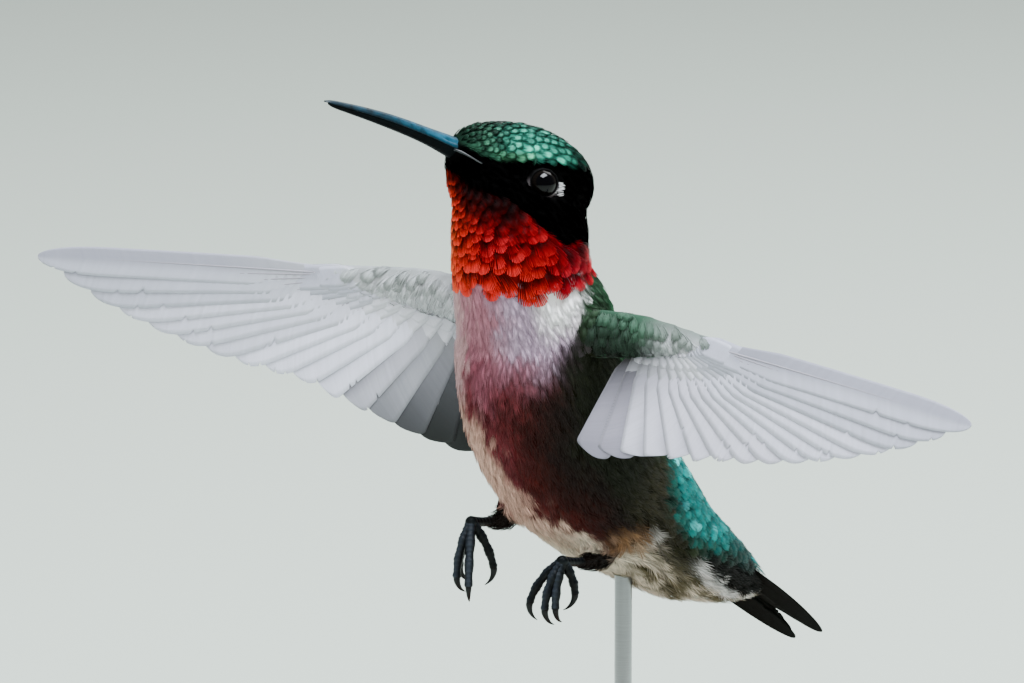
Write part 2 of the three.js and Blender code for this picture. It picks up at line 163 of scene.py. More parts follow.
# ---------------------------------------------------------------------------------------------
# Body skin. On the real bird a thin skin over the breast muscle, bare nowhere but at the eyes and
# bill; here one closed shell, made from the flesh solids and sunk inside them by the coat's depth.

HOVER = np.array([0.0, -17.0, 56.0])
SPINE_STATIONS = HOVER + np.array([
    [-1.7, 3.5, 17.0], [-1.4, 2.9, 14.8], [-0.9, 2.3, 12.4], [-0.3, 1.7, 9.5], [0, 1.3, 7.1],
    [0, 2.1, 4.9], [0, 3.6, 1.7], [0, 4.3, -1.4], [0, 6.7, -7.8], [0, 10.6, -13.6],
    [0, 18.3, -19.0], [0, 24.8, -23.7], [0, 30.3, -26.5], [0, 34.7, -28.6], [0, 38.0, -30.6],
])
HEAD_TURN, HEAD_RAISE = math.radians(19), math.radians(22)
SKULL = HOVER + np.array([-1.7, 3.4, 16.4])
AHEAD = np.array([
    -math.sin(HEAD_TURN) * math.cos(HEAD_RAISE),
    -math.cos(HEAD_TURN) * math.cos(HEAD_RAISE),
    math.sin(HEAD_RAISE),
])
HEAD_LEFT = np.array([math.cos(HEAD_TURN), -math.sin(HEAD_TURN), 0])
HEAD_UP = np.cross(AHEAD, HEAD_LEFT)
BILL_FEATHER_EDGE = SKULL + 8.4 * AHEAD - 0.3 * HEAD_UP
EYE_RADIUS = 1.65
SKIN_GRAIN = 0.38  # the size of the skin's faces
SKIN_OVERLAP = 0.16  # how far each flesh solid is grown so that the parting cuts close
LIMB_COAT = 0.16  # how deep the coat is on arms and legs


def unit(vectors):
    """The vectors' directions, each 1 long."""
    return vectors / np.maximum(np.linalg.norm(vectors, axis=-1, keepdims=True), 1e-9)


def ease(low, high, value):
    """0 below low, 1 above high, and a smooth step between them."""
    share = np.clip((value - low) / (high - low), 0, 1)
    return share * share * (3 - 2 * share)


def fade(low, high, value):
    """1 below low, 0 above high, and a smooth step between them."""
    return 1 - ease(low, high, value)


def along_path(stations, steps):
    """A smooth path through stations, with the same number of steps between each two."""
    ends = np.vstack([2 * stations[0] - stations[1], stations, 2 * stations[-1] - stations[-2]])
    path = []
    for i in range(len(stations) - 1):
        a, b, c, d = ends[i:i + 4]
        for t in np.arange(steps) / steps:
            path.append(0.5 * (2 * b + (c - a) * t + (2 * a - 5 * b + 4 * c - d) * t ** 2
                               + (3 * b - a - 3 * c + d) * t ** 3))
    return np.array(path + [stations[-1]])


def length_along(path):
    """How long a path is up to each of its points."""
    return np.concatenate([[0], np.cumsum(np.linalg.norm(np.diff(path, axis=0), axis=1))])


def points_of(mesh):
    """A mesh's points in millimetres."""
    found = np.empty(len(mesh.vertices) * 3, np.float32)
    mesh.vertices.foreach_get("co", found)
    return found.reshape(-1, 3).astype(float) / MM


spine = along_path(SPINE_STATIONS, 8)
spine_heading = unit(np.gradient(spine, axis=0))
spine_reach = length_along(spine)


def eye_middle(side):
    """The middle of an eyeball: the left one for side 1, the right one for side -1."""
    return SKULL + 0.38 * AHEAD + side * 4.9 * HEAD_LEFT - 0.54 * HEAD_UP


def turned(vector, axis, degrees):
    """A vector turned round an axis."""
    return np.array(Matrix.Rotation(math.radians(degrees), 3, Vector(axis)) @ Vector(vector))


# How each wing is held: the shoulder's height, the wing's sweep, droop and twist in degrees, how far
# its inner feathers hang and fan, where the painted shade below the arm gives way to pale grey, and
# how leaden and pale the arm's coverts are below.
WING_POSES = {
    "left": {"side": 1, "rise": 5.2, "forward": 0, "droop": 8, "under": 22, "inner_drop": 0.6,
             "first_tip": 0.085, "first_root": 0.55,
             "arm_shade_ends": (7.5, 14), "lead": 0.85, "top_pale": 0.25},
    "right": {"side": -1, "rise": 6.4, "forward": 21, "droop": 1.6, "under": 6, "inner_drop": 3.6,
              "first_tip": 0, "first_root": 0,
              "arm_shade_ends": (-1, 2.5), "lead": 0.3, "top_pale": 0.65},
}
# To each wing its own directions: out along the arm, down across the feathers, and the front, the
# way that its underside faces.
for pose in WING_POSES.values():
    side = pose["side"]
    drooped = turned((side, 0, 0), (0, 1, 0), side * pose["droop"])
    out = turned(drooped, (0, 0, 1), -side * pose["forward"])
    down = -unit(np.array([0, 0, 1.0]) - out[2] * out)
    pose["out"] = out
    pose["down"] = turned(down, out, -side * pose["under"])
    pose["front"] = unit(np.cross(pose["down"], out) * side)
    pose["shoulder"] = HOVER + np.array([side * 6.5, 4.2, pose["rise"]])
# Each leg's thigh, heel and ankle.
LEGS = {
    "left": HOVER + np.array([[4.2, 12.5, -19.5], [4.0, 8.6, -23.3], [4.0, 3.1, -22.4]]),
    "right": HOVER + np.array([[-4.6, 6.5, -15.5], [-4.8, 4.6, -19.6], [-4.6, -1.0, -18.9]]),
}


def on_wing(points, pose):
    """For each point: how far it is out, down and forward of a wing's shoulder."""
    off = points - pose["shoulder"]
    return off @ pose["out"], off @ pose["down"], off @ pose["front"]


def on_body(points):
    """For each point: how far down the spine it is, its turn round it in degrees (0 at the middle of
    the belly, 90 at the bird's left, 180 at the back), and the spine's heading there."""
    nearest = ((points[:, None, :] - spine[None]) ** 2).sum(2).argmin(1)
    heading = spine_heading[nearest]
    off = points - spine[nearest]
    reach = spine_reach[nearest] + (off * heading).sum(1)
    back = unit(np.cross([1.0, 0, 0], heading))
    left = np.cross(heading, back)
    turn = np.degrees(np.arctan2((off * left).sum(1), -(off * back).sum(1)))
    return reach, turn, heading


def on_head(points):
    """For each point: how far it is ahead of, to the left of and above the middle of the skull."""
    off = points - SKULL
    return off @ AHEAD, off @ HEAD_LEFT, off @ HEAD_UP


def coat_depth(points):
    """How thick the coat is: thin on the face, deepest on the belly and the vent."""
    reach, _, _ = on_body(points)
    ahead, _, upward = on_head(points)
    depth = 0.3 + 0.2 * ease(2, 12, reach) + 0.15 * ease(34, 44, reach)
    face = ease(3.0, 7.5, ahead) * ease(-7, -3, upward)
    for side in (1, -1):
        near_eye = fade(1.8, 3.6, np.linalg.norm(points - eye_middle(side), axis=1))
        face = np.maximum(face, 0.7 * near_eye)
    return depth * (1 - 0.65 * face)


def body_surface():
    """The head and trunk's solids, without the limbs, for measuring from."""
    places, faces = [], []
    for name in ("head", "neck", "trunk", "rump"):
        mesh = frame["nodes"][name].data
        start = len(places)
        places += [tuple(p) for p in points_of(mesh)]
        faces += [tuple(v + start for v in f.vertices) for f in mesh.polygons]
    return BVHTree.FromPolygons(places, faces)


body_tree = body_surface()


def off_body(points):
    """How far each point stands outside the head and trunk: on an arm or a leg."""
    found = [body_tree.find_nearest(Vector(p)) for p in points]
    return np.array([(Vector(p) - f[0]).dot(f[1]) for p, f in zip(points, found)])


deselect()
FLESH_NODES = ("head", "neck", "trunk", "rump", "wing_left_coverts", "wing_right_coverts",
               "leg_left", "leg_right")
flesh = []
for name in FLESH_NODES:
    copy = frame["nodes"][name].copy()
    copy.data = copy.data.copy()
    copy.parent = None
    for key in list(copy.keys()):
        del copy[key]
    bpy.context.scene.collection.objects.link(copy)
    copy.select_set(True)
    bpy.context.view_layer.objects.active = copy
    bpy.ops.object.mode_set(mode="EDIT")
    bpy.ops.mesh.select_all(action="SELECT")
    bpy.ops.mesh.remove_doubles(threshold=1e-6)
    bpy.ops.object.mode_set(mode="OBJECT")
    grow = copy.modifiers.new("grow", "DISPLACE")
    grow.strength, grow.mid_level = SKIN_OVERLAP * MM, 0
    bpy.ops.object.modifier_apply(modifier=grow.name)
    flesh.append(copy)
    copy.select_set(False)
for copy in flesh:
    copy.select_set(True)
bpy.context.view_layer.objects.active = flesh[0]
bpy.ops.object.join()
skin = bpy.context.object
remesh = skin.modifiers.new("one shell", "REMESH")
remesh.mode, remesh.voxel_size = "VOXEL", SKIN_GRAIN * MM
bpy.ops.object.modifier_apply(modifier=remesh.name)
soften = skin.modifiers.new("soften", "SMOOTH")
soften.factor, soften.iterations = 0.5, 14
bpy.ops.object.modifier_apply(modifier=soften.name)
bpy.ops.object.shade_smooth()


def inner_skin(mesh):
    """Sinks the shell by the coat's depth."""
    places = points_of(mesh)
    normals = np.empty(len(mesh.vertices) * 3, np.float32)
    mesh.vertices.foreach_get("normal", normals)
    limb = ease(0.2, 1.2, off_body(places))
    depth = coat_depth(places) * (1 - limb) + LIMB_COAT * limb
    sunk = places - normals.reshape(-1, 3) * (SKIN_OVERLAP + depth)[:, None]
    mesh.vertices.foreach_set("co", (sunk * MM).astype(np.float32).ravel())
    mesh.update()


inner_skin(skin.data)

# Markings, shared by the skin and the coat. Edges are curves of a height on the head or of a turn
# round the body, and colours fade into each other across them.

# Some of these are painted light: shade under the wings, the face and the arms' roots, and flash and glints
# on the iridescent throat, crown and rump.
BACK_GREEN, SHOULDER, SIDE_SHADE, FLANK = "1F5434", "2C4A34", "161A0C", "353222"
WHITE, PINK, LILAC, MAUVE = "FFFFFF", "AC7684", "BCA6BC", "864C5A"
MAROON, DARK_MAROON, FOLD_SHADE, ARMPIT_SHADE = "6A2C32", "4A1512", "1E0C07", "150E08"
STRIP_ROSE, STRIP_CREAM, CREAM = "C8A4A6", "D0A898", "E4D8C4"
OLIVE, RUFOUS, BLOTCH, PALE_TUFT, TAIL_BLACK = "2B2C17", "94704F", "4C4724", "C9C6C1", "060A07"
TEAL, TEAL_DARK, TEAL_GLINT, TEAL_END = "168E8C", "1E5046", "5CD6D8", "1C3A38"
GORGET_FLASH, GORGET_ORANGE_FLASH, GORGET_SCARLET = "C8240A", "E0643A", "92000E"
GORGET_CRIMSON, GORGET_FACE_SHADE = "9A021C", "120000"
MASK, CROWN_MINT, CROWN_GREY, CROWN_OLIVE, NAPE = "000000", "4CC2A4", "3A6650", "4E7A4C", "071C12"
ARM_GREEN, ARM_UNDER, ARM_SHADE, ARM_DEEP_SHADE = "35533F", "365443", "1E2E24", "0B0F08"
ARM_PALE, ARM_LEAD, LEG_DARK = "C6C9CE", "5C645C", "1A1411"


def rgb(code):
    return np.array(linear(code)[:3])


def table(pairs, value):
    """A curve through pairs of a place and a value."""
    return np.interp(value, [p[0] for p in pairs], [p[1] for p in pairs])


def mottle(points, size, seed):
    """A soft random value around 0, from about -1 to 1, that changes over the given size."""
    draw = np.random.default_rng(seed)
    waves = unit(draw.normal(size=(7, 3))) * (2 * math.pi / size) * draw.uniform(0.6, 1.5, (7, 1))
    return np.sin(points @ waves.T + draw.uniform(0, 7, 7)).sum(1) / 3.4


def plain(code, count):
    """One colour for all of so many points."""
    return np.tile(rgb(code), (count, 1))


def blend(colour, other, share):
    return colour + (other - colour) * share[:, None]


def mix(colour, code, share):
    """Lays a named colour over colours, by a share for each point."""
    return blend(colour, rgb(code), np.clip(share, 0, 1))


def gorget_top(ahead):
    """How high on the head the throat's red begins."""
    return table([(-4.2, -4.8), (-2.5, -5.6), (-0.8, -5.2), (0.7, -4.8), (1.7, -3.9), (4.2, -3.4),
                  (5.8, -3.1), (6.9, -3.0), (7.8, -2.4), (9, -1.6)], ahead)


def gorget_foot(turn):
    """How far down the spine the throat's red ends."""
    return table([(-126, 7.6), (-118, 9.6), (-107, 10.4), (-60, 10.5), (-35, 10.5), (0, 10.6),
                  (30, 10.95), (47, 11.0), (73, 11.0), (87, 10.9), (107, 10.8), (118, 10.0),
                  (126, 7.8)], turn)


def gorget_rear(reach):
    """How far round the neck the throat's red goes."""
    return table([(0, 88), (3, 100), (5, 116), (7, 122), (8.4, 121), (10.6, 114)], reach)


def in_gorget(points, short=0.3):
    """True where the throat's red scales are, the lowest rows cut short by a length."""
    reach, turn, _ = on_body(points)
    ahead, _, upward = on_head(points)
    below_face = (upward < gorget_top(ahead)) & (ahead < 9.2)
    below_face &= np.linalg.norm(points - SKULL, axis=1) < 16
    return below_face & (reach < gorget_foot(turn) - short) & (np.abs(turn) < gorget_rear(reach))


def crown_edge(ahead):
    """How high on the head the green crown begins."""
    return table([(-6, 3.6), (-4, 3.1), (-2.2, 2.3), (-0.5, 2.3), (0.7, 2.0), (2.9, 1.2), (5, 0.4),
                  (7, 0.4), (8.8, 0.7)], ahead)


def on_skull(points):
    """True over the crown, mask and nape, down to where the neck's back begins."""
    return (on_body(points)[0] < 5.5) | (on_head(points)[2] > -6.0)


def crown_share(points):
    """1 on the scaled crown and nape, 0 on the black mask."""
    ahead, left, upward = on_head(points)
    above = ease(-0.25, 0.35, upward - crown_edge(ahead))
    rear_middle = fade(1.6, 3.2, np.abs(left)) * fade(-6.0, -4.0, ahead)
    return np.maximum(above * ease(-7.6, -5.2, ahead), rear_middle)


def band_turn(reach):
    """How far round the body the underparts' colours go."""
    return table([(9, 128), (11, 118), (13, 101), (14.5, 86), (16, 78), (18.4, 75), (21.6, 68),
                  (26, 63), (29, 68), (33, 74), (38, 66), (45, 60)], reach)


def teal_turn(reach):
    """From how far round the body on the rump is turquoise."""
    return table([(34, 175), (36, 128), (38, 100), (40, 76), (42, 70), (46, 69), (50, 78), (55, 90),
                  (60, 95)], reach)


def face_zone(points):
    """True over the crown, mask and nape, above the throat's red."""
    ahead, _, upward = on_head(points)
    return on_skull(points) & ~in_gorget(points) & (upward > gorget_top(ahead) - 2.2)


def breast_colours(points, reach, turn, side, to_edge, wobble, fine):
    """Pink, lilac and maroon underparts, with a pale strip down their middle and painted shade in the fold
    and armpit under each wing.
    """
    breast = plain(PINK, len(points))
    breast = mix(breast, LILAC, ease(14, 42, side + 6 * fine))
    breast = mix(breast, MAUVE, ease(12, 19, reach + 0.8 * wobble + 0.6 * fine - 0.045 * side))
    tone = reach + 1.2 * wobble - 0.085 * side
    breast = mix(breast, MAROON, ease(18.2, 22.0, tone + 0.7 * fine + 0.1 * side))
    dark = ease(19, 23, reach + 1.2 * fine) * ease(4, 26, turn + 6 * wobble + 4 * fine)
    breast = mix(breast, DARK_MAROON, dark)
    # Painted shade: dark in the fold below the wing and in the armpit, near the underparts' edge.
    breast = mix(breast, FOLD_SHADE, 0.9 * ease(-50, -12, to_edge) * ease(17.5, 20.5, reach))
    breast = mix(breast, ARMPIT_SHADE, 0.9 * ease(-20, -4, to_edge) * ease(13.5, 17, reach))
    breast = mix(breast, WHITE, fade(12.4, 15.6, reach + 0.3 * fine) * ease(50, 72, side))
    breast = breast * (1 + 0.3 * mottle(points, 2.4, 11) * ease(17, 22, reach))[:, None]
    middle = table([(10, -34), (16, -34), (22, -30), (26, -17), (31, -10), (36, 0), (40, 0)], reach)
    half = table([(10, 17), (16, 15), (22, 13), (26, 16), (30, 20), (36, 30), (42, 36)], reach)
    strip = fade(-6, 9, np.abs(turn - middle) - half + 8 * fine + 5 * wobble)
    breast = mix(breast, STRIP_ROSE, strip * fade(18, 24, reach) * 0.8)
    breast = mix(breast, STRIP_CREAM, strip * ease(19, 25, reach))
    return mix(breast, CREAM, strip * ease(31, 36, reach))


def lay_on_vent(colour, points, reach, side, wobble, fine):
    """Adds the cream vent with a rusty patch and olive blotches, and the coverts under the tail."""
    under = ease(37, 40, reach + 0.6 * wobble) * fade(48, 60, side + 4 * fine)
    colour = mix(colour, CREAM, under)
    rusty = np.hypot((reach - 38.6) * 0.9, (side - 48) * 0.2)
    colour = mix(colour, RUFOUS, 0.85 * fade(1.2, 3.6, rusty))
    blotches = ease(-0.3, 0.25, mottle(points * [1.6, 0.7, 1.2], 3.2, 5))
    colour = mix(colour, BLOTCH, 0.9 * under * ease(41.5, 44.5, reach) * blotches)
    olive = ease(42.5, 44.5, reach) * ease(38, 48, side + 5 * wobble) * fade(76, 90, side)
    colour = mix(colour, OLIVE, 0.9 * olive)
    tuft = np.hypot((reach - 41.2) * 0.8, (side - 56) * 0.15)
    colour = mix(colour, PALE_TUFT, fade(0.6, 1.6, tuft + 0.4 * fine))
    # The black coverts that clasp the tail, and the white ones beside them underneath.
    streak = table([(46, 66), (50.5, 60), (54.2, 51), (60, 32)], reach)
    black = ease(46, 50, reach + 0.04 * (side - 60)) * ease(2, 9, side - streak) * fade(96, 104, side)
    colour = mix(colour, TAIL_BLACK, black + ease(58.5, 60.5, reach) * ease(38, 46, side))
    white = ease(48, 50.5, reach) * fade(5, 10, np.abs(side - streak) + 3 * fine)
    return mix(colour, WHITE, 0.95 * white)


def rump_colours(points, reach, in_teal, fine):
    """Turquoise with painted glints in spots, darker at the patch's edge and towards the tail."""
    rump = plain(TEAL, len(points))
    rump = mix(rump, TEAL_DARK, fade(3, 32, in_teal + 12 * fine))
    rump = mix(rump, TEAL_END, 0.85 * ease(50, 57, reach + fine))
    # Painted glints: lighter spots where the iridescent rump would catch the light.
    light = ease(0.1, 0.7, mottle(points, 1.9, 8)) * ease(10, 26, in_teal)
    return mix(rump, TEAL_GLINT, 0.8 * light)


def throat_colours(reach, turn, below_face):
    """Ruby, with painted iridescent flash in orange on the right front, and painted shade, nearly black,
    close below the face.
    """
    red = plain(GORGET_SCARLET, len(reach))
    # Painted flash: the orange and flame tones stand for the scales' iridescence catching the light.
    red = mix(red, GORGET_FLASH, fade(-30, 12, turn))
    red = mix(red, GORGET_ORANGE_FLASH, 0.5 * fade(-34, -20, turn))
    red = mix(red, GORGET_FLASH, 0.5 * ease(7, 10.5, reach) * fade(45, 70, np.abs(turn)))
    red = mix(red, GORGET_CRIMSON, ease(55, 85, np.abs(turn)))
    in_shade = ease(-30, -8, turn) * fade(28, 44, turn)
    # Painted shade: nearly black where the face shades the throat, most at the front, and a dark band close
    # below the face.
    red = mix(red, GORGET_FACE_SHADE, 0.94 * fade(0, 4.5, below_face) * in_shade)
    return mix(red, GORGET_FACE_SHADE, 0.6 * fade(0, 0.9, below_face))


def head_colours(points, ahead, left, upward):
    """A mint crown, greyer over the bill, and dark on the nape and over the head's right side, above a black
    mask; painted shade darkens the crown's top.
    """
    crown = plain(CROWN_MINT, len(points))
    crown = mix(crown, CROWN_GREY, ease(3.0, 7.0, ahead))
    low = fade(0.3, 1.0, upward - crown_edge(ahead))
    crown = mix(crown, CROWN_OLIVE, 0.7 * low * ease(1.0, 3.0, ahead) * fade(5.0, 6.5, ahead))
    # Painted light and shade: the crown is brightened low down and darkened on its top, against the lamp's
    # highlight there, and is a little darker towards the front.
    crown = crown * (1.2 - 0.2 * ease(3, 5, ahead) - 0.6 * ease(2.0, 3.8, upward))[:, None]
    crown = mix(crown, NAPE, np.maximum(0.92 * fade(-3.4, 1.0, ahead), 0.88 * fade(0, 3.2, left)))
    return blend(plain(MASK, len(points)), crown, crown_share(points))


def arm_colours(pose, out, down, front):
    """Green above; below, the coverts' own dark olive under painted shade by the shoulder, and pale grey
    further out.
    """
    dark_to, pale_from = pose["arm_shade_ends"]
    under = ease(-0.75, -0.35, front)
    dark, pale = under * fade(dark_to, pale_from, out), under * ease(dark_to, pale_from, out)
    # Painted shade by the shoulder, over the coverts' own dark olive, deepening towards the arm's lower edge.
    arm = mix(plain(ARM_GREEN, len(out)), ARM_UNDER, dark)
    arm = mix(arm, ARM_SHADE, dark * ease(0.6, 2.2, down))
    arm = mix(arm, ARM_DEEP_SHADE, dark * ease(2.8, 4.6, down))
    top_pale = pose["top_pale"]
    arm = mix(arm, ARM_PALE, pale * (top_pale + (1 - top_pale) * ease(0.2, 2.2, down)))
    return mix(arm, ARM_LEAD, pose["lead"] * pale * fade(0.8, 2.6, down) * fade(9, 17, out))


# How far each leg's dark feathers go from the shank, and from where off the body they start.
LEG_DARKNESS = {"left": (2.2, -0.3), "right": (5.5, -0.85)}


def plumage_and_painted_light(points):
    """The plumage's colour at each point, with painted shade and light laid into it."""
    reach, turn, _ = on_body(points)
    ahead, left, upward = on_head(points)
    wobble, fine = mottle(points, 5.0, 1), mottle(points, 1.6, 2)
    side = np.abs(turn + 10 * fade(34, 40, reach))
    far_side = ease(60, 80, -turn)
    to_edge = side - (band_turn(reach) + 3 * wobble - 26 * far_side * fade(12, 15, reach))
    colour = plain(BACK_GREEN, len(points)) * (1 + 0.25 * fine)[:, None]
    colour = mix(colour, SHOULDER, fade(20, 26, reach) * fade(36, 58, to_edge))
    # Painted shade: a dark band down each side, along the underparts' edge, below the wings.
    colour = mix(colour, SIDE_SHADE, fade(40, 62, to_edge) * ease(13, 18, reach + 0.04 * (140 - side)))
    colour = mix(colour, FLANK, ease(31, 37, reach) * fade(50, 70, to_edge) * (0.8 + 0.3 * fine))
    breast = breast_colours(points, reach, turn, side, to_edge, wobble, fine)
    colour = blend(colour, breast, fade(-7, 6, to_edge + 4 * fine))
    colour = lay_on_vent(colour, points, reach, side, wobble, fine)
    in_teal = side - teal_turn(reach) + 3 * wobble
    rump = rump_colours(points, reach, in_teal, fine)
    colour = blend(colour, rump, ease(-4, 5, in_teal) * ease(35.5, 38, reach))
    red = throat_colours(reach, turn, gorget_top(ahead) - upward)
    colour = np.where(in_gorget(points)[:, None], red, colour)
    head = head_colours(points, ahead, left, upward)
    colour = np.where(face_zone(points)[:, None], head, colour)
    limb = off_body(points) - 0.55
    for pose in WING_POSES.values():
        out, down, front = on_wing(points, pose)
        arm = arm_colours(pose, out, down, front) * (1 + 0.12 * fine)[:, None]
        on_arm = ease(0, 0.8, limb) * ease(-1, 1, out) * (np.abs(front) < 5) * (down < 9)
        colour = blend(colour, arm, on_arm)
    near_throat = fade(12.2, 13.4, reach) * ease(66, 76, side) * fade(98, 108, side) * (1 - far_side)
    colour = mix(colour, WHITE, near_throat * fade(0.1, 0.7, limb) * ease(-0.1, 0.3, limb))
    for name, (_, heel, ankle) in LEGS.items():
        far, start = LEG_DARKNESS[name]
        off_shank = np.linalg.norm(points - 0.5 * (heel + ankle), axis=1) - 1.2
        dark = fade(far, far + 1.2, off_shank) * ease(start, start + 0.45, limb)
        colour = mix(colour, LEG_DARK, dark)
    return colour


def colour_attribute(mesh, colours):
    """Stores a colour at each point of a mesh."""
    layer = mesh.color_attributes.new("plumage", "FLOAT_COLOR", "POINT")
    rgba = np.ones((len(colours), 4), np.float32)
    rgba[:, :3] = colours
    layer.data.foreach_set("color", rgba.ravel())


# The skin shows between barbs, so it takes the plumage's colour under a little painted shade, and deep
# painted shade under scales.
places = points_of(skin.data)
scaled = in_gorget(places) | (on_skull(places) & (on_head(places)[2] > -6)) | (on_body(places)[0] > 36)
colour_attribute(skin.data, plumage_and_painted_light(places) * np.where(scaled, 0.3, 0.75)[:, None])
# Skin under short down: quite matt, and a little rough to the eye.
skin_material = new_material("bird skin and down, grown")
plumage = add_node(skin_material, "ShaderNodeAttribute", attribute_name="plumage")
down = add_node(skin_material, "ShaderNodeTexNoise", {"Scale": 2600.0, "Detail": 3.0})
add_node(skin_material, "Principled BSDF", {
    "Base Color": plumage.outputs["Color"],
    "Roughness": 0.9,
    "Specular IOR Level": 0.03,
    "Normal": add_node(skin_material, "ShaderNodeBump", {
        "Strength": 0.5, "Distance": 0.0001, "Height": down.outputs["Fac"]}).outputs["Normal"],
})
finish_piece(skin, "body_skin", skin_material, FLESH_NODES)

# ---------------------------------------------------------------------------------------------
# Contour feathers. Each is a root in the skin and a fan of fine barbs that lies back along the
# body, over the roots of the next ones. They differ in size, breadth and how far the barbs cling.

SPINE_LENGTH = spine_reach[-1]
BAKE_PATCH = 0.003
LINE_STEPS = 3  # how many straight steps a feather takes along the skin

skin_tree = BVHTree.FromPolygons(
    [tuple(p) for p in points_of(skin.data)], [tuple(f.vertices) for f in skin.data.polygons])


def nearest_on(tree, places):
    """The nearest points of a surface, and its normals there."""
    found = [tree.find_nearest(Vector(p)) for p in places]
    return np.array([f[0] for f in found]), np.array([f[1] for f in found])


def beside_arm(out, down, front):
    """True within a wing's arm and the coat on it."""
    return (out > 0) & (np.abs(front) < 4.5) & (down < 9) & (down > -2)


def body_lie(points, normals):
    """The way feathers point: back from the bill over the head, then down the spine to the tail."""
    reach, turn, heading = on_body(points)
    away = unit(points - BILL_FEATHER_EDGE)
    share = ease(6, 15, reach)[:, None]
    way = away * (1 - share) + heading * share
    # The gorget's rear corners flare up and back round the neck.
    _, _, upward = on_head(points)
    corner = ease(64, 100, np.abs(turn)) * ease(2.5, 4.5, reach) * fade(9.0, 10.5, reach)
    corner = corner * (upward < -3.5)
    way = way - (1.2 * corner * np.sign(turn))[:, None] * np.cross(heading, normals)
    limb = ease(-0.2, 1.2, off_body(points) + 0.4)[:, None]
    for pose in WING_POSES.values():
        out, down, front = on_wing(points, pose)
        arm = beside_arm(out, down, front)
        outward = (0.35 + 0.5 * ease(4, 20, out))[:, None]
        along_arm = outward * pose["out"] + (1 - 0.4 * outward) * pose["down"]
        way = np.where(arm[:, None], way + (along_arm - way) * limb, way)
    for leg in LEGS.values():
        near = np.linalg.norm(points - (leg[0] + leg[1]) / 2, axis=1) < 5
        shank = unit(leg[2] - leg[1]) * 0.7 + unit(leg[1] - leg[0]) * 0.5
        way = np.where(near[:, None], way + (shank - way) * limb, way)
    return unit(way - (way * normals).sum(1, keepdims=True) * normals)


def body_unwrap(points):
    """A place in the unit square for each point of the skin: round the body and along it, with the
    top of the head and each arm in a strip of its own."""
    reach, turn, _ = on_body(points)
    ahead, left, upward = on_head(points)
    on_top = (reach < 2.5) & (upward > -4.5)
    round_head = np.degrees(np.arctan2(left, -upward))
    body = np.stack([0.02 + 0.96 * (turn + 180) / 360, 0.02 + 0.5 * reach / SPINE_LENGTH], 1)
    head = np.stack([0.02 + 0.96 * (round_head + 180) / 360, 0.54 + 0.24 * (9 - ahead) / 18], 1)
    place = np.where(on_top[:, None], head, body)
    limb = off_body(points) > 0.2
    for row, pose in enumerate(WING_POSES.values()):
        out, down, front = on_wing(points, pose)
        arm = limb & beside_arm(out, down, front)
        round_arm = (np.degrees(np.arctan2(front, 3.2 - down)) + 180) / 360
        strip = np.stack([0.04 + 0.92 * out / 22, 0.8 + 0.1 * row + 0.08 * round_arm], 1)
        place = np.where(arm[:, None], strip, place)
    return np.clip(place, 0.003, 0.997)


def scatter(draw, mesh, wanted, spacing):
    """Places on a surface, evenly strewn: none is nearer to another than the spacing there."""
    places = points_of(mesh)
    mesh.calc_loop_triangles()
    corners = np.empty(len(mesh.loop_triangles) * 3, np.int32)
    mesh.loop_triangles.foreach_get("vertices", corners)
    a, b, c = (places[corners.reshape(-1, 3)[:, i]] for i in range(3))
    cross = np.cross(b - a, c - a)
    area = np.linalg.norm(cross, axis=1) / 2 * wanted((a + b + c) / 3)
    finest = spacing(places).min() if callable(spacing) else spacing
    tries = int(16 * area.sum() / finest ** 2)
    picked = draw.choice(len(area), tries, p=area / area.sum())
    p, q = draw.random(tries), draw.random(tries)
    p, q = np.where(p + q > 1, 1 - p, p), np.where(p + q > 1, 1 - q, q)
    spots = a[picked] + (b - a)[picked] * p[:, None] + (c - a)[picked] * q[:, None]
    normals = unit(cross[picked])
    gaps = spacing(spots) if callable(spacing) else np.full(len(spots), float(spacing))
    cell = gaps.max()  # so that only the next cells can hold a place that is too near
    taken, kept = {}, []
    for i, (spot, gap) in enumerate(zip(spots.tolist(), gaps.tolist())):
        x, y, z = (int(v // cell) for v in spot)
        near = (other for dx in (-1, 0, 1) for dy in (-1, 0, 1) for dz in (-1, 0, 1)
                for other in taken.get((x + dx, y + dy, z + dz), ()))
        if all((spot[0] - o[0]) ** 2 + (spot[1] - o[1]) ** 2 + (spot[2] - o[2]) ** 2 > gap * gap
               for o in near):
            taken.setdefault((x, y, z), []).append(spot)
            kept.append(i)
    return spots[kept], normals[kept], gaps[kept]


def mesh_piece(name, places, triangles, colours=None, bake_map=None):
    """A new object from places in millimetres and triangles."""
    mesh = bpy.data.meshes.new(name)
    mesh.vertices.add(len(places))
    mesh.vertices.foreach_set("co", (places * MM).astype(np.float32).ravel())
    mesh.loops.add(len(triangles) * 3)
    mesh.loops.foreach_set("vertex_index", triangles.astype(np.int32).ravel())
    mesh.polygons.add(len(triangles))
    mesh.polygons.foreach_set("loop_start", np.arange(len(triangles), dtype=np.int32) * 3)
    mesh.update(calc_edges=True)
    mesh.polygons.foreach_set("use_smooth", np.ones(len(triangles), bool))
    if bake_map is not None:
        layer = mesh.uv_layers.new(name="OFBake")
        layer.data.foreach_set("uv", bake_map[triangles.ravel()].astype(np.float32).ravel())
    if colours is not None:
        colour_attribute(mesh, colours)
    mesh.validate()
    piece = bpy.data.objects.new(name, mesh)
    bpy.context.scene.collection.objects.link(piece)
    return piece


